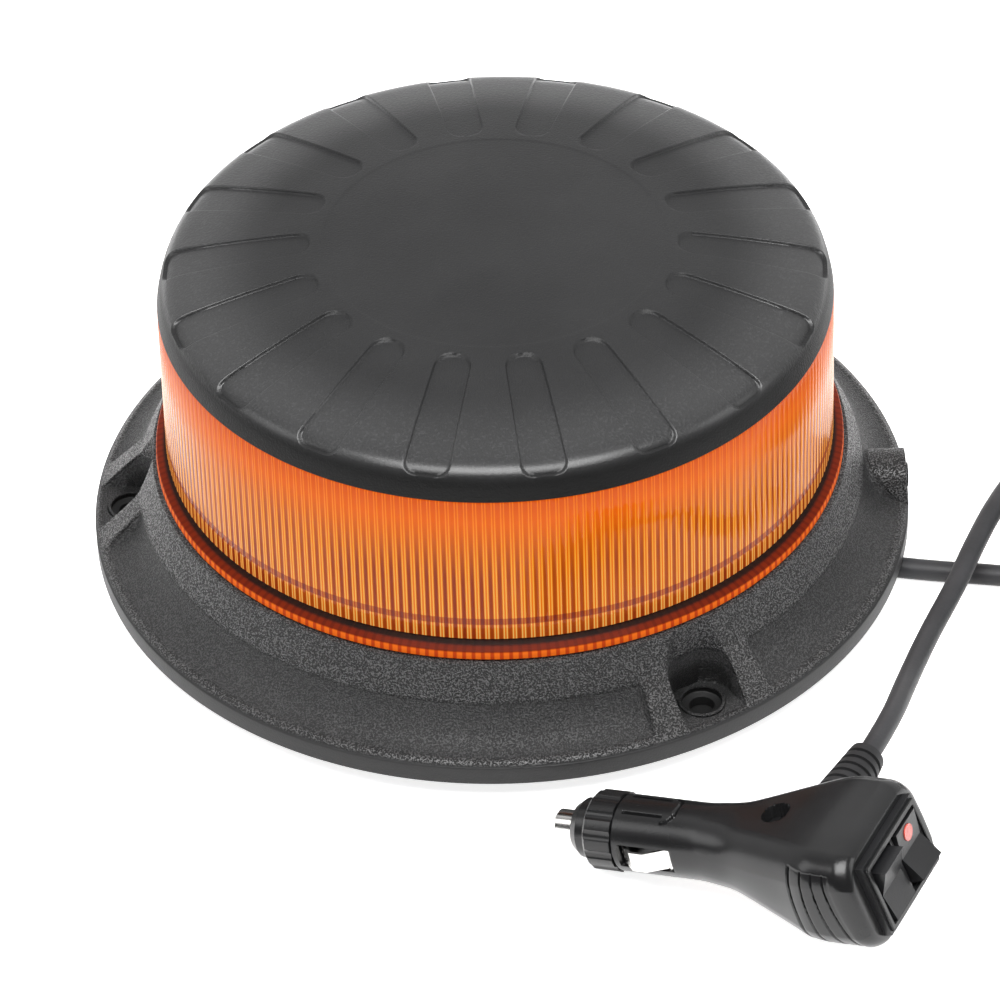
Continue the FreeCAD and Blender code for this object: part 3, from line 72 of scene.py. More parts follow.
def skin(name, grid, sharp=35.0, loop=False):
    """A closed mesh over a grid of points (rows, columns, 3) in millimetres.

    Columns go round and join.  Rows either join too, or both end rows are closed with a fan to
    their mean point.  The faces are turned outwards by the sign of the enclosed volume."""
    rows, columns = grid.shape[:2]
    points = grid.reshape(-1, 3)
    index = np.arange(rows * columns).reshape(rows, columns)
    across = np.roll(index, -1, axis=1)
    if loop:
        quads = np.stack([index, across, np.roll(across, -1, 0), np.roll(index, -1, 0)], -1)
        fans = []
    else:
        quads = np.stack([index[:-1], across[:-1], across[1:], index[1:]], -1)
        first, last = len(points), len(points) + 1
        points = np.vstack([points, grid[0].mean(0), grid[-1].mean(0)])
        fans = [np.stack([across[0], index[0], np.full(columns, first)], -1),
                np.stack([index[-1], across[-1], np.full(columns, last)], -1)]
    quads = quads.reshape(-1, 4)
    triangles = np.vstack([quads[:, :3], quads[:, [0, 2, 3]]] + fans)
    a, b, c = (points[triangles[:, k]] for k in range(3))
    if np.einsum("ij,ij->", a, np.cross(b, c)) < 0:
        quads = quads[:, ::-1]
        fans = [fan[:, ::-1] for fan in fans]
    faces = quads.tolist() + [face for fan in fans for face in fan.tolist()]
    mesh = bpy.data.meshes.new(name)
    mesh.from_pydata((points * MM).tolist(), [], faces)
    mesh.shade_smooth()
    mesh.set_sharp_from_angle(angle=math.radians(sharp))
    made = bpy.data.objects.new(name, mesh)
    bpy.context.scene.collection.objects.link(made)
    return made


def steps(*stops):
    """Sample values from pairs of (stop, spacing up to the next stop); the last stop is alone."""
    runs = [np.arange(start, stops[k + 1][0] - spacing * 0.3, spacing)
            for k, (start, spacing) in enumerate(stops[:-1])]
    return np.concatenate(runs + [[stops[-1][0]]])


def ease(low, high, value):
    """Smooth step from 0 below low to 1 above high."""
    t = np.clip((value - low) / (high - low), 0.0, 1.0)
    return t * t * (3.0 - 2.0 * t)


def soft_max(a, b, width):
    """The larger of two fields, with the crease between them rounded over a width."""
    gap = np.clip(0.5 + (a - b) / (2 * width), 0.0, 1.0)
    return b + (a - b) * gap + width * gap * (1.0 - gap)


def mix(a, b, share):
    """From a at share 0 to b at share 1."""
    return a + (b - a) * share


def wrapped(angle):
    """Degrees brought into -180 to 180."""
    return (angle + 180.0) % 360.0 - 180.0


def smoothed(values, reach):
    """A run of samples averaged with a bell that ends at twice that many samples each way."""
    bell = np.exp(-0.5 * (np.arange(-2 * reach, 2 * reach + 1) / (reach * 0.8)) ** 2)
    padded = np.pad(values, 2 * reach, mode="reflect", reflect_type="odd")
    return np.convolve(padded, bell / bell.sum(), mode="valid")


def finish_piece(piece, body, slot, material, *replaced):
    """Ride, replace and dress a new piece; the slot is not used."""
    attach(piece, body)
    if replaced:
        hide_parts(*replaced)
    piece.data.materials.clear()
    piece.data.materials.append(material)
    return piece


# ---- base ----

BOSS_AZIMUTHS = (-60.0, 60.0, 180.0)
FLANGE, BAND_TOP, RIM, RIM_TOP = 115.0, 12.6, 113.4, 13.8
CREASE, CREASE_TOP, SEAT, SEAT_TOP = 102.0, 25.6, 97.6, 34.4
SCOOP_DEPTH, BOSS_HALF_ANGLE = 2.6, 9.6
POCKET_RADIUS, POCKET_CENTRE, POCKET_FLOOR = 9.3, 105.8, 13.3
SCREW_CIRCLE, SCREW_HOLE = 105.0, 3.4
BORE_RADIUS, BORE_FLOOR = 6.15, 9.0
HOOD_HALF, HOOD_TOP, HOOD_REACH, HOOD_START = 9.0, 23.4, 114.6, 92.0
UNDERSIDE, UNDER_WALL = 7.0, 2.6
HOLLOW_START, HOLLOW_END, HOLLOW_TOP, HOLLOW_FOOT = 81.0, 112.0, 30.8, 9.6
PAN, PAN_FLOOR = 78.0, 10.4
BOSS_SWEEP, HOOD_SWEEP = 13.0, 7.0      # degrees each way that take close columns


def skirt_height(r, azimuth):
    """Height of the skirt over the plan.

    A straight cone at the bosses and a hollow arc of a circle between them, both rising from the
    rim to the crease, then a steeper cone to the lens seat.  U-shaped pockets with upright walls
    are sunk into the bosses, and a half cylinder along +X stands out as the outlet's hood."""
    run, rise = RIM - CREASE, RIM_TOP - CREASE_TOP
    chord = math.hypot(run, rise)
    tool = (chord * chord / 4 + SCOOP_DEPTH ** 2) / (2 * SCOOP_DEPTH)
    arc_r = (RIM + CREASE) / 2 - rise / chord * (tool - SCOOP_DEPTH)
    arc_z = (RIM_TOP + CREASE_TOP) / 2 + run / chord * (tool - SCOOP_DEPTH)
    inner = np.interp(r, [SEAT, CREASE], [SEAT_TOP, CREASE_TOP])
    cone = np.interp(r, [CREASE, RIM, FLANGE], [CREASE_TOP, RIM_TOP, BAND_TOP])
    scoop = arc_z - np.sqrt(np.maximum(tool ** 2 - (r - arc_r) ** 2, 0.0))
    between = np.where(r < RIM, scoop, cone)
    near = np.min([np.abs(wrapped(azimuth - boss)) for boss in BOSS_AZIMUTHS], axis=0)
    lower = mix(cone, between, ease(BOSS_HALF_ANGLE - 0.45, BOSS_HALF_ANGLE + 0.45, near))
    height = np.where(r < CREASE, inner, lower)
    x, y = r * np.cos(np.radians(azimuth)), r * np.sin(np.radians(azimuth))
    axis = HOOD_TOP - HOOD_HALF
    dome = axis + np.sqrt(np.maximum(HOOD_HALF ** 2 - y * y, 0.0))
    dome = mix(dome, 0.0, ease(HOOD_HALF - 0.12, HOOD_HALF + 0.25, np.abs(y)))
    dome = mix(dome, 0.0, ease(HOOD_REACH - 0.25, HOOD_REACH + 0.05, x))
    height = np.where((x > HOOD_START) & (np.abs(y) < HOOD_HALF + 5.0), soft_max(height, dome, 0.5), height)
    for boss in BOSS_AZIMUTHS:
        a = r * np.cos(np.radians(azimuth - boss)) - POCKET_CENTRE
        b = np.abs(r * np.sin(np.radians(azimuth - boss)))
        inside = POCKET_RADIUS - np.hypot(np.minimum(a, 0.0), b)
        hole = np.hypot(a + POCKET_CENTRE - SCREW_CIRCLE, b)
        floor = mix(POCKET_FLOOR, BORE_FLOOR, ease(BORE_RADIUS, BORE_RADIUS - 0.35, hole))
        facing = np.abs(wrapped(azimuth - boss)) < 2 * BOSS_HALF_ANGLE
        height = np.where(facing, mix(height, np.minimum(height, floor),
                                      ease(-0.35, 0.35, inside)), height)
    return height


def base_skirt():
    """The housing as one polar surface: underside, rim band, skirt by height, seat and pan.

    The underside has a ring-shaped hollow whose ceiling stays a wall's thickness under the skirt,
    read at the places round each point.  The skirt's rows are evened twice with a mean of three."""
    fine = steps((-BOSS_SWEEP, 0.19), (BOSS_SWEEP, 0.0))
    hood = steps((-HOOD_SWEEP, 0.19), (HOOD_SWEEP, 0.0))
    plain = np.arange(0.0, 360.0, 1.0)
    busy = np.min([np.abs(wrapped(plain - boss)) for boss in BOSS_AZIMUTHS], axis=0) < BOSS_SWEEP + 0.5
    busy |= np.abs(wrapped(plain)) < HOOD_SWEEP + 0.5
    azimuth = np.concatenate([plain[~busy], hood] + [boss + fine for boss in BOSS_AZIMUTHS])
    azimuth = np.sort(azimuth % 360.0)
    inner = np.arange(HOLLOW_START + 0.6, HOLLOW_END, 1.6)
    ceiling = np.interp(inner, [94.6, 99.0, 110.4, HOLLOW_END], [31.2, 22.6, 10.8, HOLLOW_FOOT])
    under = ([(0.0, UNDERSIDE), (60.0, UNDERSIDE), (HOLLOW_START - 0.4, UNDERSIDE),
              (HOLLOW_START, UNDERSIDE + 0.4), (HOLLOW_START, HOLLOW_TOP)]
             + list(zip(inner, ceiling))
             + [(HOLLOW_END, HOLLOW_FOOT), (HOLLOW_END, UNDERSIDE + 0.2), (HOLLOW_END + 0.2, UNDERSIDE),
                (FLANGE - 0.3, UNDERSIDE), (FLANGE - 0.07, UNDERSIDE + 0.1),
                (FLANGE, UNDERSIDE + 0.35), (FLANGE, BAND_TOP - 0.6)])
    r = steps((SEAT, 0.3), (CREASE - 0.8, 0.12), (CREASE + 1.2, 0.25), (107.0, 0.3), (111.5, 0.25),
              (RIM - 0.2, 0.12), (FLANGE, 0.0))[::-1]
    upper = [(SEAT - 0.4, SEAT_TOP), (84.0, SEAT_TOP), (PAN + 0.2, SEAT_TOP), (PAN, SEAT_TOP - 0.2),
             (PAN, PAN_FLOOR), (0.0, PAN_FLOOR)]
    grid_r = np.concatenate([[p[0] for p in under], r, [p[0] for p in upper]])
    rows = len(grid_r)
    radius, turn = np.meshgrid(grid_r, azimuth, indexing="ij")
    height = np.empty_like(radius)
    height[:len(under)] = np.array([p[1] for p in under])[:, None]
    hollow = slice(5, 5 + len(inner))
    for shift in (-1.8, 0.0, 1.8):
        for swing in (-1.0, 0.0, 1.0):
            above = skirt_height(radius[hollow] + shift, turn[hollow] + swing) - UNDER_WALL
            height[hollow] = np.minimum(height[hollow], np.maximum(above, UNDERSIDE + 0.4))
    height[rows - len(upper):] = np.array([p[1] for p in upper])[:, None]
    field = skirt_height(radius[len(under):rows - len(upper)], turn[len(under):rows - len(upper)])
    for _ in range(2):
        field[1:-1] = (field[:-2] + 2 * field[1:-1] + field[2:]) / 4
    height[len(under):rows - len(upper)] = field
    height[len(under) - 1] = np.minimum(height[len(under) - 1], field[0])
    grid = np.stack([radius * np.cos(np.radians(turn)), radius * np.sin(np.radians(turn)), height], -1)
    return skin("base_skirt", grid[1:-1], sharp=60.0)


def screw_eyelets():
    """A turned ring round each counterbored screw hole, with the hole's wall below it."""
    profile = np.array([(6.4, 13.0), (6.4, 13.7), (6.3, 13.8), (5.7, 13.8), (5.55, 13.65),
                        (5.5, 12.1), (5.35, 12.0), (3.6, 12.0), (3.45, 11.92), (SCREW_HOLE, 11.7),
                        (SCREW_HOLE, 9.2), (6.0, 9.2)])
    azimuth = np.radians(np.arange(0, 360, 6.0))
    made = []
    for boss in BOSS_AZIMUTHS:
        r, turn = np.meshgrid(profile[:, 0], azimuth, indexing="ij")
        z = np.repeat(profile[:, 1:], len(azimuth), axis=1)
        centre_x = SCREW_CIRCLE * math.cos(math.radians(boss))
        centre_y = SCREW_CIRCLE * math.sin(math.radians(boss))
        grid = np.stack([centre_x + r * np.cos(turn), centre_y + r * np.sin(turn), z], -1)
        made.append(skin(f"screw_eyelet_{len(made) + 1}", grid, loop=True))
    return made


# ---- lens ----

FLUTES, FLUTE_DEPTH, FLUTE_COLUMNS = 240, 0.10, 8
LENS_FOOT, FLUTE_BOTTOM, LENS_TOP = 35.1, 39.6, 86.6
LENS_BORE = 90.3


def fluted_lens():
    """Ring wall whose outer radius dips between ribs as a power of the azimuth's absolute sine.

    Each row of the outline is a radius, a height and the share of the dip that it takes."""
    columns = FLUTES * FLUTE_COLUMNS
    azimuth = np.arange(columns) / columns * 2 * np.pi
    dip = FLUTE_DEPTH * np.abs(np.sin(azimuth * FLUTES / 2)) ** 1.5
    outline = [(84.0, LENS_FOOT, 0), (96.2, LENS_FOOT, 0), (96.45, 35.35, 0), (96.35, 37.3, 0),
               (96.0, 37.75, 0), (93.2, 38.7, 0), (92.65, 39.1, 0), (92.6, FLUTE_BOTTOM, 0),
               (93.3, 39.8, 0.5), (93.5, 40.0, 1), (93.45, 46.0, 1), (93.35, 58.0, 1),
               (93.25, 70.0, 1), (93.12, 86.3, 1), (92.9, LENS_TOP, 0.6), (90.4, LENS_TOP, 0),
               (LENS_BORE, 86.4, 0), (LENS_BORE, 60.0, 0), (LENS_BORE, 38.4, 0), (90.0, 38.1, 0),
               (84.2, 38.1, 0), (84.0, 37.9, 0)]
    r, z, share = (np.array(column)[:, None] for column in zip(*outline))
    radius = r - share * dip
    height = np.broadcast_to(z, radius.shape)
    grid = np.stack([radius * np.cos(azimuth), radius * np.sin(azimuth), height], -1)
    return skin("amber_lens", grid, sharp=50.0, loop=True)


# ---- cap ----

SHOULDER, SHOULDER_TOP, CROWN = 91.4, 95.2, 106.0
GROOVES, GROOVE_TIP, TIP_HALF, RIM_HALF, GROOVE_DEPTH = 18, 50.5, 5.0, 6.3, 0.9
GROOVE_LOW, GROOVE_TURN, GROOVE_CORNER = 93.2, -2.6, 3.4
CAP_SIDE, SHOULDER_REACH = 93.1, 18
DISC_RADIUS, DISC_DEPTH = 47.6, 0.12


def cap_profile():
    """Radius, height and distance along the cap's outline from the crown to its lower edge.

    The crown is an arc of a circle and the side is a straight cone.  Averaging the samples rounds
    the shoulder between them."""
    rise = CROWN - SHOULDER_TOP
    ball = (SHOULDER ** 2 + rise ** 2) / (2 * rise)
    r = steps((0.0, 0.25), (SHOULDER, 0.0))
    crown = np.stack([r, CROWN - ball + np.sqrt(ball ** 2 - r ** 2)], -1)
    z = steps((LENS_TOP + 0.25, 0.25), (SHOULDER_TOP - 0.2, 0.0))[::-1]
    side = np.stack([np.interp(z, [LENS_TOP, SHOULDER_TOP], [CAP_SIDE, SHOULDER]), z], -1)
    line = np.vstack([crown, side])
    for column in range(2):
        line[:, column] = smoothed(line[:, column], SHOULDER_REACH)
    line[0, 0] = 0.0
    along = np.concatenate([[0.0], np.cumsum(np.hypot(*np.diff(line, axis=0).T))])
    return line, along


def grooved_cap():
    """Low dome turned from its outline, with radial grooves pressed in along its normal.

    A groove is a slot that widens outwards, with a round inner end and a rounded outer end on the
    side; its depth eases in over half a millimetre.  A shallow disc lies inside the groove tips.
    The columns follow the grooves' edges, in shares of the half width out to 1 and beyond it in
    shares of what is left to the middle between two grooves."""
    line, along = cap_profile()
    total = along[-1]
    samples = steps((0.6, 3.4), (45.5, 0.45), (62.0, 1.6), (84.0, 0.6), (total - 7.5, 0.35),
                    (total, 0.0))
    r, z = (np.interp(samples, along, line[:, k]) for k in (0, 1))
    slope = np.stack([np.gradient(r, samples), np.gradient(z, samples)], -1)
    slope /= np.linalg.norm(slope, axis=1)[:, None]
    share = np.array([0.0, 0.25, 0.45, 0.6, 0.72, 0.8, 0.86, 0.91, 0.95, 0.98, 1.0, 1.025, 1.06, 1.15,
                      1.4, 1.7])
    one = np.concatenate([-share[:0:-1], share, [2.0]])
    start = GROOVE_TIP + TIP_HALF
    end = np.interp(-GROOVE_LOW, -line[:, 1], along)
    width = np.interp(samples, [start, end], [TIP_HALF, RIM_HALF])[:, None]
    edge = np.degrees(np.arcsin(width / np.maximum(r, GROOVE_TIP)[:, None]))
    pitch = 360.0 / GROOVES
    off = np.where(np.abs(one) < 1, one * edge,
                   np.sign(one) * (edge + (np.abs(one) - 1) * (pitch / 2 - edge)))
    turn = np.concatenate([off + pitch * k for k in range(GROOVES)], axis=1) + GROOVE_TURN
    off = np.radians(np.tile(off, GROOVES))
    q = np.broadcast_to(samples[:, None], off.shape)
    a, b = q * np.cos(off), np.abs(r[:, None] * np.sin(off))
    tip = TIP_HALF - np.hypot(a - start, b)
    x, y = b - (width - GROOVE_CORNER), q - (end - GROOVE_CORNER)
    tail = np.where((x > 0) & (y > 0), GROOVE_CORNER - np.hypot(np.maximum(x, 0), np.maximum(y, 0)),
                    np.minimum(width - b, end - q))
    inside = np.where(a < start, tip, tail)
    disc = ease(DISC_RADIUS, DISC_RADIUS - 0.5, q)
    press = GROOVE_DEPTH * ease(-0.12, 0.38, inside) + DISC_DEPTH * disc
    radius = r[:, None] + press * slope[:, 1][:, None]
    height = z[:, None] - press * slope[:, 0][:, None]
    below = [(92.9, LENS_TOP), (90.2, LENS_TOP), (90.2, 82.7), (90.1, 82.6), (87.3, 82.6),
             (87.2, 82.7), (87.2, 91.0), (60.0, 97.2), (1.0, 101.0)]
    under_r, under_z = (np.repeat(np.array(column)[:, None], turn.shape[1], 1) for column in zip(*below))
    radius, height = np.vstack([radius, under_r]), np.vstack([height, under_z])
    turn = np.radians(np.vstack([turn, np.repeat(turn[-1:], len(below), 0)]))
    grid = np.stack([radius * np.cos(turn), radius * np.sin(turn), height], -1)
    return skin("grooved_cap", grid, sharp=50.0)


# ---- plug ----

PLUG_TIP = Vector((12.7, -132.4, 8.1514))
PLUG_HEADING, PLUG_TILT = -27.0, 13.0
HEAD_X = (45.0, 55.0, 65.0, 75.0, 82.0, 94.4)
HEAD_WIDTH = (20.5, 23.6, 31.2, 38.4, 44.6, 44.6)
HEAD_HEIGHT = (20.5, 21.0, 25.0, 28.8, 30.0, 30.0)
HEAD_CORNER = (10.0, 10.0, 10.6, 10.6, 10.0, 9.6)
FACE_X, FACE_SLANT = 98.2, 11.0
SHELL_SCREW, SCREW_POCKET, BOOT_X = 67.0, 3.75, 72.6
BARREL_START, BARREL_BORE, FUSE_BORE, BULKHEAD = 21.0, 8.0, 6.3, 53.4
SLOT_START, SLOT_END, SLOT_HALF, SLOT_FLOOR = 22.6, 38.2, 3.55, 6.45
TONGUE_HALF, TONGUE_END, TONGUE_DEPTH = 3.9, 34.6, 1.1
GRIP_LINES, GRIP_START, GRIP_PITCH, GRIP_DEPTH = 4, 78.4, 4.0, 0.6
SWITCH_HALF_WIDTH, SWITCH_HALF_HEIGHT, SWITCH_DEPTH = 14.45, 9.75, 11.1


def plug_turn():
    """Rows of the plug's own axes, from its heading about Z and its tilt above the floor."""
    heading, tilt = math.radians(PLUG_HEADING), math.radians(PLUG_TILT)
    x = Vector((math.cos(heading) * math.cos(tilt), math.sin(heading) * math.cos(tilt), math.sin(tilt)))
    y = Vector((-math.sin(heading), math.cos(heading), 0.0))
    return np.array([x, y, x.cross(y)])


def laid(grid):
    """Points of the plug's own frame carried to where the plug lies."""
    return grid @ plug_turn() + np.array(PLUG_TIP)


def faced(grid):
    """Points of the slanted rear face's frame carried to the plug's own frame."""
    slant = math.radians(FACE_SLANT)
    d, y, z = grid[..., 0], grid[..., 1], grid[..., 2]
    return np.stack([FACE_X + d * math.cos(slant) - z * math.sin(slant), y,
                     d * math.sin(slant) + z * math.cos(slant)], -1)


def shell_section(x):
    """Half width, half height and corner radius of the shells at distances along the plug.

    The rows are eased between the stations, and the rear edge is rounded by a quarter ellipse."""
    fine = np.arange(15.0, 110.0, 0.5)
    rows = []
    for start, row in ((20.5, HEAD_WIDTH), (20.5, HEAD_HEIGHT), (20.0, HEAD_CORNER)):
        eased = smoothed(np.interp(fine, (15.0,) + HEAD_X, (start,) + row), 6)
        rows.append(np.interp(x, fine, eased))
    width, height, corner = rows[0] / 2, rows[1] / 2, np.minimum(rows[2], rows[1] / 2 - 0.1)
    tail = np.clip((x - 93.6) / (FACE_X - 93.6), 0.0, 1.0)
    round_off = 1 - np.sqrt(np.maximum(1 - tail ** 2, 0.0))
    width, height = width - 3.2 * round_off, height - 2.6 * round_off
    return width, height, np.minimum(corner - 1.5 * round_off, height - 0.1)


def plug_shell():
    """Both shells as one skin, lofted through rounded oblongs that swell from barrel to head.

    A section is the sum of an oblong and a disc, read by the angle of its normal, and leans over
    with the slanted rear face.  Slots for the side contacts, a screw pocket, a tongue line and a
    panel of finger grooves are pressed into it.  The rows before it are the bore from the bulkhead
    out, and those after it are the well for the switches."""
    x = steps((BARREL_START, 0.35), (40.0, 0.8), (60.0, 0.4), (76.0, 0.18), (FACE_X, 0.0))
    angle = np.radians(np.arange(0, 360, 1.0))
    width, height, corner = shell_section(x)
    y = ((width - corner)[:, None] * np.clip(4 * np.cos(angle), -1, 1)
         + corner[:, None] * np.cos(angle))
    z = ((height - corner)[:, None] * np.clip(4 * np.sin(angle), -1, 1)
         + corner[:, None] * np.sin(angle))
    along = np.broadcast_to(x[:, None], y.shape).copy()
    slot = (ease(SLOT_HALF, SLOT_HALF - 0.25, np.abs(z)) * ease(SLOT_START, SLOT_START + 0.3, along)
            * ease(SLOT_END, SLOT_END - 0.3, along))
    y = mix(y, np.sign(y) * SLOT_FLOOR, slot)
    pocket = ease(SCREW_POCKET, SCREW_POCKET - 0.3, np.hypot(along - SHELL_SCREW, y)) * (z > 0)
    z = mix(z, 7.1, pocket)
    rear = np.clip(along - TONGUE_END, 0.0, None)
    inner = TONGUE_HALF - np.hypot(np.maximum(np.abs(y) - 1.7, 0.0), rear)
    inner = np.where(rear > 0, inner, TONGUE_HALF - np.abs(y))
    groove = ease(0.0, 0.2, inner) * ease(1.1, 0.9, inner) * (along > 23.0) * (z > 0)
    z = z - TONGUE_DEPTH * groove
    flank = (y < 0) * ease(11.4, 10.9, z)
    lean = 0.0085 * np.clip(7.0 - z, 0.0, None) ** 2
    panel = flank * ease(77.6, 77.9, along - lean) * ease(93.0, 91.6, along - 0.6 * lean)
    lines = np.zeros_like(y)
    for k in range(GRIP_LINES):
        lines = np.maximum(lines, np.exp(-((along - lean - GRIP_START - GRIP_PITCH * k) / 0.27) ** 4))
    press = 0.15 * panel + GRIP_DEPTH * lines * panel
    normal_y, normal_z = np.cos(angle), np.sin(angle)
    y, z = y - press * normal_y, z - press * normal_z
    slant = math.radians(FACE_SLANT) * ease(80.0, 94.4, along)
    body = np.stack([along - z * np.sin(slant), y, z * np.cos(slant)], -1)
    turned = ((BULKHEAD, 0.5), (BULKHEAD, FUSE_BORE), (14.3, FUSE_BORE), (14.2, 6.4), (14.2, 7.9),
              (14.3, BARREL_BORE), (20.9, BARREL_BORE), (BARREL_START, 8.1), (BARREL_START, 10.1))
    bore = [np.stack([np.full_like(angle, px), pr * np.cos(angle), pr * np.sin(angle)], -1)
            for px, pr in turned]
    square = ((0.0, SWITCH_HALF_WIDTH + 0.05, SWITCH_HALF_HEIGHT + 0.05),
              (-0.1, SWITCH_HALF_WIDTH, SWITCH_HALF_HEIGHT),
              (-SWITCH_DEPTH, SWITCH_HALF_WIDTH, SWITCH_HALF_HEIGHT), (-SWITCH_DEPTH, 1.0, 1.0))
    well = [np.stack([np.full_like(angle, px), half_y * np.clip(1.35 * np.cos(angle), -1, 1),
                      half_z * np.clip(1.35 * np.sin(angle), -1, 1)], -1)
            for px, half_y, half_z in square]
    return skin("plug_shell", laid(np.concatenate([bore, body, faced(np.array(well))])), sharp=50.0)


def switch_surround():
    """The bezel's raised inner step: a flat oblong ring with softened edges."""
    angle = np.radians(np.arange(0, 360, 3.0))
    outline = ((2.0, 15.2, 10.2, 0.8), (2.9, 15.2, 10.2, 0.8), (3.1, 15.0, 10.0, 0.8),
               (3.1, 14.0, 8.9, 0.5), (2.9, 13.8, 8.7, 0.5), (2.0, 13.8, 8.7, 0.5))
    rows = []
    for d, half_y, half_z, corner in outline:
        y = (half_y - corner) * np.clip(4 * np.cos(angle), -1, 1) + corner * np.cos(angle)
        z = (half_z - corner) * np.clip(4 * np.sin(angle), -1, 1) + corner * np.sin(angle)
        rows.append(np.stack([np.full_like(angle, d), y, z], -1))
    return skin("switch_surround", laid(faced(np.array(rows))), sharp=30.0, loop=True)


# ---- lead ----

LEAD_LENGTH, LEAD_RADIUS = 2.50, 3.0
COIL_CENTRE = (203.0, -2.4)
COIL_SLOTS = ((39.1, 3.05), (33.0, 3.05), (26.9, 3.05), (26.9, 9.15), (33.0, 9.15), (39.1, 9.15),
              (39.1, 15.25), (33.0, 15.25), (26.9, 15.25), (26.9, 21.35), (33.0, 21.35), (39.1, 21.35))
COIL_START, FIRST_SPAN, SLOT_SPAN, LAST_SPAN = -99.8, 300.0, 330.0, 219.8
COIL_STEP, CHANGE_SPAN = 15.0, 100.0


def coil_points():
    """Turns of the coil: each stays in its slot for most of a turn, then eases to the next."""
    total = FIRST_SPAN + SLOT_SPAN * (len(COIL_SLOTS) - 2) + LAST_SPAN
    turned = np.arange(1, int(total // COIL_STEP)) * COIL_STEP
    changes = FIRST_SPAN + SLOT_SPAN * np.arange(len(COIL_SLOTS) - 1)
    share = (turned[:, None] - changes[None, :]) / CHANGE_SPAN + 0.5
    share = np.clip(share, 0.0, 1.0)
    moved = np.diff(np.array(COIL_SLOTS), axis=0)
    slots = np.array(COIL_SLOTS[0]) + (share * share * (3 - 2 * share)) @ moved
    angle = np.radians(COIL_START + turned)
    return [(COIL_CENTRE[0] + r * math.cos(a), COIL_CENTRE[1] + r * math.sin(a), z)
            for (r, z), a in zip(slots, angle)]


def lead(material):
    """The whole free lead as one spline: base run, coil, run to the plug.

    Its bevel is one metre and its points carry the radius, because a curve's bounding box grows by
    the radius of its points."""
    base_run = [(56.513, -13.047, 12.0), (67.231, -15.521, 11.2), (82.0, -18.2, 6.3),
                (98.0, -22.3, 3.3), (117.0, -26.6, 3.05), (139.0, -29.9, 3.05),
                (160.0, -34.4, 3.05), (180.0, -37.4, 3.05), (196.4, -40.7, 3.05)]
    plug_run = [(183.4, 31.6, 21.3), (167.0, 20.0, 20.6), (150.0, 3.4, 17.8), (138.6, -14.6, 16.2),
                (131.2, -31.2, 15.4), (124.4, -48.4, 14.6), (116.0, -66.6, 14.2),
                (108.0, -89.5, 17.0)]
    ends = [tuple(laid(np.array([BOOT_X, reach, 0.0]))) for reach in (57.0, 41.0)]
    points = base_run + coil_points() + plug_run + ends
    curve = bpy.data.curves.new("lead", "CURVE")
    curve.dimensions = "3D"
    curve.bevel_depth = 1.0
    curve.bevel_resolution = 5
    curve.resolution_u = 10
    curve.use_fill_caps = True
    spline = curve.splines.new("NURBS")
    spline.points.add(len(points) - 1)
    for point, (x, y, z) in zip(spline.points, points):
        point.co = (x * MM, y * MM, z * MM, 1.0)
        point.radius = LEAD_RADIUS * MM
    spline.order_u = 3
    spline.use_endpoint_u = True
    piece = bpy.data.objects.new("lead", curve)
    bpy.context.scene.collection.objects.link(piece)
    finish_piece(piece, "root", "jacket", material, "cord_base_run", "cord_plug_run", "cord_coil")
    [c * MM for c in points[0]]
    return piece


# ---- materials ----

class Wire:
    """One socket of a material's tree.  Arithmetic on it adds Math nodes."""

    def __init__(self, tree, socket):
        self.tree = tree
        self.socket = socket

    def node(self, kind, inputs=(), output=0, stops=None, **settings):
        """A node of that kind with its settings made first, then its sockets fed by index or name."""
        made = self.tree.nodes.new("ShaderNode" + kind)
        for name, value in settings.items():
            setattr(made, name, value)
        if stops:
            ramp = made.color_ramp
            for k, (position, colour) in enumerate(stops):
                element = ramp.elements[k] if k < 2 else ramp.elements.new(position)
                element.position = position
                element.color = (*colour, 1.0) if len(colour) == 3 else colour
        for key, value in dict(inputs).items():
            if isinstance(value, Wire):
                self.tree.links.new(value.socket, made.inputs[key])
            else:
                made.inputs[key].default_value = value
        return Wire(self.tree, made.outputs[output])

    def maths(self, operation, *values):
        """A Math node of that operation on wires and numbers."""
        return self.node("Math", dict(enumerate(values)), operation=operation)

    def __add__(self, other):
        return self.maths("ADD", self, other)

    def __radd__(self, other):
        return self.maths("ADD", other, self)

    def __sub__(self, other):
        return self.maths("SUBTRACT", self, other)

    def __rsub__(self, other):
        return self.maths("SUBTRACT", other, self)

    def __mul__(self, other):
        return self.maths("MULTIPLY", self, other)

    def __rmul__(self, other):
        return self.maths("MULTIPLY", other, self)

    def __truediv__(self, other):
        return self.maths("DIVIDE", self, other)

    def step(self, low, high):
        """0 below low, 1 above high, smooth between."""
        return self.node("MapRange", {0: self, 1: low, 2: high}, interpolation_type="SMOOTHSTEP")

    def blend(self, first, second):
        """Colour mixed from first to second by this wire."""
        colours = {6: first, 7: second}
        inputs = {k: (*v, 1.0) if isinstance(v, tuple) else v for k, v in colours.items()}
        return self.node("Mix", {0: self, **inputs}, output=2, data_type="RGBA")


def material(name, **sockets):
    """A new material with its Principled sockets set, its object coordinates and a way to feed it."""
    made = bpy.data.materials.new(name)
    made.use_nodes = True
    tree = made.node_tree
    shader = tree.nodes["Principled BSDF"]
    for key, value in sockets.items():
        socket = shader.inputs[key.replace("_", " ")]
        socket.default_value = (*value, 1.0) if isinstance(value, tuple) else value
    coordinates = tree.nodes.new("ShaderNodeTexCoord")
    place = Wire(tree, coordinates.outputs["Object"])

    def feed(key, wire):
        tree.links.new(wire.socket, shader.inputs[key])

    return made, place, feed


def noise(place, scale, detail=2.0, roughness=0.5):
    """A noise field from 0 to 1, with that many waves to a metre."""
    return place.node("TexNoise", {"Vector": place, "Scale": scale, "Detail": detail,
                                   "Roughness": roughness})


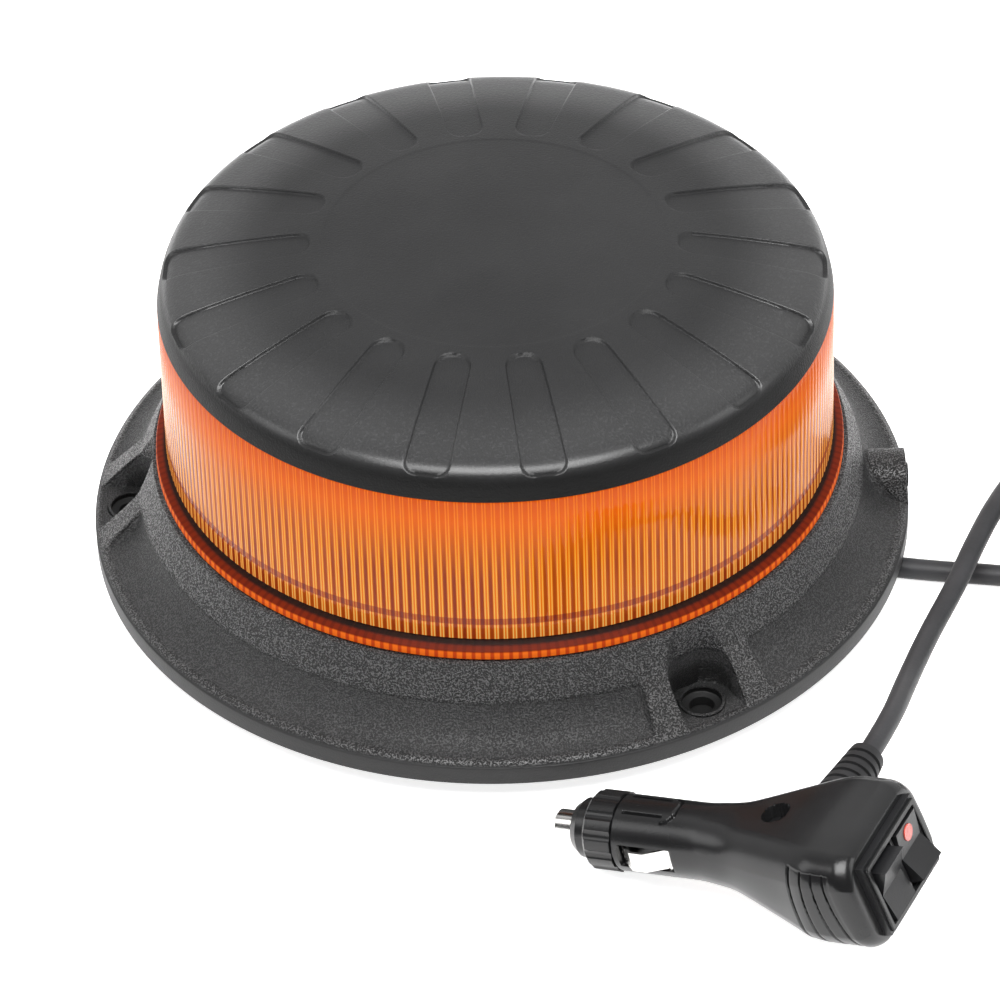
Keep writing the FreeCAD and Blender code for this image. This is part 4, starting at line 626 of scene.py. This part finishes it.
def bumped(place, height, distance):
    """A normal from a height field of 0 to 1 and its depth in metres."""
    return place.node("Bump", {"Strength": 1.0, "Distance": distance, "Height": height})


def axes(place):
    """X, Y and Z of a coordinate as wires."""
    split = place.node("SeparateXYZ", {0: place})
    outputs = split.socket.node.outputs
    return [Wire(place.tree, outputs[k]) for k in range(3)]


BLOTCH = 0.2


def moulded(name, colour, roughness, grain, depth, sheen):
    """Moulded black plastic: a fine sand grain as bump, mottled in shade and gloss."""
    made, place, feed = material(name, Specular_IOR_Level=0.42, Metallic=0.0)
    fine = noise(place, 1.0 / grain, 2.0, 0.5)
    broad = noise(place, 45.0, 3.0, 0.55)
    light = tuple(c * (1 + BLOTCH) for c in colour)
    dark = tuple(c * (1 - BLOTCH) for c in colour)
    feed("Base Color", broad.step(0.3, 0.7).blend(dark, light))
    feed("Roughness", fine * sheen + (roughness - sheen / 2) + (broad - 0.5) * 0.06)
    feed("Normal", bumped(place, fine, depth))
    return made


def housing_plastic():
    """The base's leathery grain: coarse on the lands, smoother in the hollows, with a lighter painted
    ground and painted glints on the lit lands, a plain rim band and painted shade in the pockets."""
    made, place, feed = material("base_plastic", Specular_IOR_Level=0.30, Coat_Roughness=0.35)
    x, y, z = axes(place)
    radius = place.maths("SQRT", x * x + y * y)
    slope = place.node("MapRange", {0: radius, 1: CREASE * MM, 2: RIM * MM, 3: CREASE_TOP * MM,
                                    4: RIM_TOP * MM})
    depth = slope - z
    # Painted shade: the pockets' floors and walls are coloured near black, where light does not reach.
    pocket_shade = depth.step(3.2 * MM, 8.0 * MM) * radius.step(115.4 * MM, 114.8 * MM)
    land = depth.step(1.2 * MM, 0.3 * MM)
    upper = z.step(12.7 * MM, 13.3 * MM)
    grain = noise(place, 2100.0, 1.0, 0.5)
    broad = noise(place, 40.0, 3.0, 0.5)
    # The lands get a lighter painted ground where light falls on them, over a random mottle.
    mottle_and_land_light = broad.step(0.3, 0.7) * 0.3 + land * 0.7
    ground = mottle_and_land_light.blend((0.020, 0.020, 0.0205), (0.030, 0.030, 0.0305))
    # Painted glints: bright specks on the grain above the rim band, strongest on the lit lands.
    grain_glints = grain.step(0.47, 0.60) * upper * (0.30 + land * 0.70)
    feed("Base Color", pocket_shade.blend(grain_glints.blend(ground, (0.120, 0.120, 0.121)), (0.008, 0.008, 0.008)))
    feed("Roughness", 0.50 - grain_glints * 0.12 + (broad - 0.5) * 0.08)
    feed("Coat Weight", grain_glints * 0.6)
    feed("Normal", bumped(place, grain * (0.05 + upper * (0.35 + land * 0.60)), 0.0016))
    return made


def cap_plastic():
    """Cap finish: fine grain on the crown, livelier and glossier on the shoulder with painted glints
    on its grain, and painted shade on the side.
    """
    made, place, feed = material("cap_plastic", Specular_IOR_Level=0.16, Coat_Roughness=0.30)
    x, y, z = axes(place)
    radius = place.maths("SQRT", x * x + y * y)
    shoulder = radius.step(62.0 * MM, 84.0 * MM) * z.step(92.0 * MM, 95.0 * MM)
    # Painted shade: the upright side is coloured near black.
    side = z.step(95.5 * MM, 91.0 * MM)
    fine = noise(place, 1900.0, 2.0, 0.6)
    coarse = noise(place, 1300.0, 2.0, 0.5)
    broad = noise(place, 24.0, 3.0, 0.5)
    ground = broad.step(0.3, 0.7).blend((0.019, 0.019, 0.0195), (0.025, 0.025, 0.0255))
    # Painted glints: brighter specks on the shoulder's grain.
    grain_glints = coarse.step(0.52, 0.70) * shoulder
    top = grain_glints.blend(ground, (0.040, 0.040, 0.041))
    feed("Base Color", side.blend(top, (0.003, 0.003, 0.003)))
    feed("Roughness", 0.42 + fine * 0.10 + (broad - 0.5) * 0.08)
    feed("Coat Weight", 0.15 + shoulder * 0.85 - side * 0.13)
    feed("Normal", bumped(place, fine * 0.25 + coarse * (0.10 + shoulder * 0.60 - side * 0.08), 0.0008))
    return made


def amber():
    """Amber lens coloured with painted light: two painted glint lines to a rib, painted shade between
    the ribs low down, a painted dark line where the reflector's edge shows through, near-black
    painted shade in the groove under the flutes, and a redder foot.  The same colours feed the
    emission, a painted glow in place of light passing through the amber.
    """
    made, place, feed = material("amber", IOR=1.5, Specular_IOR_Level=0.05, Coat_Roughness=0.03,
                                 Emission_Strength=1.0, Alpha=0.96)
    x, y, z = axes(place)
    turn = place.maths("ARCTAN2", y, x) * (FLUTES / (2 * math.pi))
    aside = place.maths("ABSOLUTE", place.maths("FRACT", turn + 0.5) - 0.5)
    # Painted glints: two bright lines on each rib.
    glint_pair = place.maths("ABSOLUTE", aside - 0.16).step(0.095, 0.03)
    gap = aside.step(0.23, 0.36)
    patch = noise(place.node("CombineXYZ", {0: turn * 0.08, 1: 0.0, 2: z * 30.0}), 1.0, 1.0, 0.5)
    height = (z - FLUTE_BOTTOM * MM) / ((LENS_TOP - FLUTE_BOTTOM) * MM)
    middle = height.node("ValToRGB", {0: height}, stops=[
        (0.0, (0.86, 0.20, 0.010)), (0.5, (0.92, 0.21, 0.006)), (0.85, (0.84, 0.14, 0.004)),
        (1.0, (0.66, 0.085, 0.003))])
    # The painted glint colour: whitish low down, redder towards the top.
    bright = height.node("ValToRGB", {0: height}, stops=[
        (0.0, (1.0, 0.66, 0.20)), (0.14, (1.0, 0.58, 0.12)), (0.55, (1.0, 0.46, 0.045)),
        (1.0, (0.96, 0.27, 0.012))])
    # Painted shade between the ribs, strongest low down and broken up in patches.
    shade = height.step(0.92, 0.42) * (0.75 + patch.step(0.35, 0.65) * 0.25)
    wall = (gap * shade).blend(middle, (0.30, 0.036, 0.006))
    wall = (glint_pair * (0.55 + height.step(1.0, 0.5) * 0.45)).blend(wall, bright)
    # Painted shade: a dark line where the reflector plate's edge shows through the lens.
    reflector_edge_shade = place.maths("ABSOLUTE", z - 45.9 * MM).step(1.25 * MM, 0.85 * MM) * (0.92 - glint_pair * 0.25)
    wall = reflector_edge_shade.blend(wall, gap.blend((0.44, 0.050, 0.012), (0.20, 0.026, 0.018)))
    lip = gap.blend((0.86, 0.17, 0.014), (0.52, 0.055, 0.008))
    top = z.step(37.2 * MM, 37.65 * MM)
    foot = top.blend(lip, (gap * 0.5).blend((0.17, 0.016, 0.003), (0.08, 0.007, 0.002)))
    above = z.step(38.1 * MM, 38.5 * MM)
    clear = z.step(39.5 * MM, 39.9 * MM)
    # Painted shade: near black in the groove under the flutes.
    lower = above.blend(foot, clear.blend((0.012, 0.007, 0.006), wall))
    # Painted glow: the painted colours also feed the emission, so the lens glows in place of light passing
    # through the amber.
    for key, gain in (("Base Color", (0.36, 0.36, 0.36)), ("Emission Color", (0.66, 0.60, 0.56))):
        feed(key, lower.node("VectorMath", {0: lower, 1: gain}, operation="MULTIPLY"))
    feed("Roughness", 0.50 - clear * 0.38)
    feed("Coat Weight", 0.01 + clear * 0.13)
    return made


def metal(name, colour, roughness, brushed=0.0):
    """Bare or plated metal, lightly clouded, with fine brushing where it is asked for."""
    made, place, feed = material(name, Metallic=1.0)
    cloud = noise(place, 160.0, 3.0, 0.6)
    lines = place.node("Mapping", {"Vector": place, "Scale": (1.0, 1.0, 30.0)}, vector_type="POINT")
    scratch = noise(lines, 380.0, 2.0, 0.5)
    feed("Base Color", cloud.blend(tuple(c * 0.82 for c in colour), colour))
    feed("Roughness", roughness + cloud * 0.10 + scratch * brushed)
    feed("Normal", bumped(place, scratch, 0.00001 + 0.00004 * brushed))
    return made


def rubbery(name, colour, roughness, scale):
    """Soft black rubber with a matt, slightly dusty mottling."""
    made, place, feed = material(name, Specular_IOR_Level=0.35, Sheen_Weight=0.08)
    fine = noise(place, scale, 3.0, 0.6)
    broad = noise(place, 60.0, 2.0, 0.5)
    feed("Base Color", broad.step(0.3, 0.75).blend(colour, tuple(c * 1.5 + 0.004 for c in colour)))
    feed("Roughness", roughness + fine * 0.12)
    feed("Normal", bumped(place, fine, 0.00006))
    return made


def plain_finish(name, colour, roughness):
    """A painted, printed or moulded finish with a slight change of shade and gloss."""
    made, place, feed = material(name)
    field = noise(place, 300.0, 3.0, 0.55)
    feed("Base Color", field.blend(tuple(c * 0.85 for c in colour), colour))
    feed("Roughness", roughness + field * 0.1)
    feed("Normal", bumped(place, field, 0.00002))
    return made


def lit_red():
    """The indicator's clear red, glowing faintly."""
    made, place, feed = material("indicator_red", Roughness=0.22, Coat_Weight=0.5,
                                 Emission_Strength=1.0)
    field = noise(place, 700.0, 2.0, 0.5)
    feed("Base Color", field.blend((0.50, 0.035, 0.020), (0.75, 0.10, 0.06)))
    feed("Emission Color", field.blend((0.10, 0.008, 0.004), (0.16, 0.015, 0.01)))
    return made


def clear_glass():
    """The fuse's glass tube, slightly uneven in tint."""
    made, place, feed = material("fuse_glass", Roughness=0.05, Alpha=0.35)
    feed("Base Color", noise(place, 200.0).blend((0.80, 0.86, 0.85), (0.92, 0.95, 0.94)))
    return made


# ---- studio ----

LIGHT_TARGET = Vector((0.0, 0.0, 0.05))
LIGHTS = (("front_above", (0.0, -0.60, 1.35), 1.3, 0.75, 32.0),
          ("left_soft", (-1.4, -0.3, 0.9), 0.6, 0.9, 5.0),
          ("right_soft", (1.4, -0.2, 0.8), 0.6, 0.9, 5.0))


def studio():
    """A white floor, a sky that is bright behind the beacon and dim in front, and soft lights.

    The floor glows, so that it stays white, and lights no piece from below."""
    span = 4.0
    mesh = bpy.data.meshes.new("floor")
    mesh.from_pydata([(-span, -span, 0), (span, -span, 0), (span, span, 0), (-span, span, 0)], [],
                     [(0, 1, 2, 3)])
    floor = bpy.data.objects.new("floor", mesh)
    bpy.context.scene.collection.objects.link(floor)
    floor.visible_diffuse = False
    made, place, feed = material("floor_white", Roughness=0.9, Specular_IOR_Level=0.1,
                                 Emission_Strength=1.0)
    cloud = noise(place, 4.0)
    feed("Base Color", cloud.blend((0.88, 0.88, 0.88), (0.91, 0.91, 0.91)))
    feed("Emission Color", cloud.blend((0.80, 0.80, 0.80), (0.82, 0.82, 0.82)))
    mesh.materials.append(made)
    world = bpy.data.worlds.new("studio")
    world.use_nodes = True
    tree = world.node_tree
    coordinates = tree.nodes.new("ShaderNodeTexCoord")
    behind = axes(Wire(tree, coordinates.outputs["Generated"]))[1].step(-0.05, 0.55)
    tree.links.new(behind.blend((0.10, 0.10, 0.10), (0.85, 0.85, 0.85)).socket,
                   tree.nodes["Background"].inputs["Color"])
    tree.nodes["Background"].inputs["Strength"].default_value = 1.0
    bpy.context.scene.world = world
    for name, stand, wide, high, power in LIGHTS:
        data = bpy.data.lights.new(name, "AREA")
        data.shape = "RECTANGLE"
        data.size = wide
        data.size_y = high
        data.energy = power
        lamp = bpy.data.objects.new(name, data)
        lamp.location = stand
        lamp.rotation_euler = (LIGHT_TARGET - Vector(stand)).to_track_quat("-Z", "Y").to_euler()
        bpy.context.scene.collection.objects.link(lamp)
    bpy.context.scene.view_settings.view_transform = "Standard"


# ---- the beacon put together ----

aimed_camera()

base_plastic = housing_plastic()
shell_plastic = moulded("shell_plastic", (0.012, 0.012, 0.0125), 0.24, 0.0005, 0.00002, 0.06)
finish_piece(base_skirt(), "root", "housing", base_plastic, "base_housing")
for eyelet in screw_eyelets():
    finish_piece(eyelet, "root", "housing", base_plastic)
lens_wall = finish_piece(fluted_lens(), "root", "amber", amber(), "lens")
lens_wall.visible_glossy = False
finish_piece(grooved_cap(), "root", "cap", cap_plastic(), "top_cap")
finish_piece(plug_shell(), "root", "shell", shell_plastic, "plug_upper_shell", "plug_lower_shell")
finish_piece(switch_surround(), "root", "shell", shell_plastic)

steel = metal("zinc_steel", (0.60, 0.60, 0.62), 0.30, 0.1)
nickel = metal("nickel", (0.78, 0.77, 0.75), 0.14)
brass = metal("stamped_brass", (0.76, 0.58, 0.28), 0.28)
dark_steel = metal("blacked_steel", (0.035, 0.035, 0.037), 0.34)
rubber = rubbery("black_rubber", (0.012, 0.012, 0.013), 0.55, 900.0)
switch_black = moulded("switch_black", (0.013, 0.013, 0.014), 0.34, 0.0006, 0.00003, 0.08)
white_board = plain_finish("white_solder_resist", (0.78, 0.78, 0.76), 0.4)
dressed = {
    "outlet_blanking_plug": rubber, "rubber_foot_1": rubber, "rubber_foot_2": rubber,
    "rubber_foot_3": rubber, "lens_gasket": rubber, "cable_gland": rubber, "plug_boot": rubber,
    "magnet_disc_1": steel, "magnet_disc_2": steel, "magnet_disc_3": steel, "magnet_screws": steel,
    "dome_screws": steel, "drum_screws": steel, "board_screws": steel, "shell_screw": dark_steel,
    "fuse_spring": steel, "contact_tip": nickel, "cap_washer": dark_steel, "fuse_caps": nickel,
    "ground_contact_left": nickel, "ground_contact_right": nickel, "board_spacers": brass,
    "rear_fuse_contact": brass, "switch_terminals": brass,
    "fuse_cap": shell_plastic, "switch_frame": switch_black, "power_rocker": switch_black,
    "pattern_rocker": switch_black, "indicator_lens": lit_red(), "fuse_tube": clear_glass(),
    "heat_sink_drum": metal("turned_aluminium", (0.72, 0.72, 0.74), 0.32, 0.15),
    "reflector_plate": plain_finish("reflector_white", (0.85, 0.85, 0.83), 0.45),
    "leds": plain_finish("phosphor", (0.92, 0.78, 0.28), 0.25),
    "driver_board": plain_finish("green_solder_resist", (0.06, 0.22, 0.11), 0.4),
    "capacitors": plain_finish("can_sleeve", (0.08, 0.09, 0.12), 0.3),
    "choke": plain_finish("ferrite", (0.14, 0.12, 0.11), 0.6),
    "internal_leads": plain_finish("core_insulation", (0.42, 0.04, 0.035), 0.4),
    "breather_vent": plain_finish("membrane", (0.82, 0.82, 0.80), 0.8),
    "coil_tie": rubbery("strap", (0.02, 0.02, 0.021), 0.55, 500.0),
}
dressed.update({f"led_board_{k}": white_board for k in range(1, 9)})
for name, finish in dressed.items():
    nodes[name].data.materials.clear()
    nodes[name].data.materials.append(finish)

lead(rubbery("lead_jacket", (0.024, 0.024, 0.026), 0.45, 700.0))
studio()

bpy.context.view_layer.update()
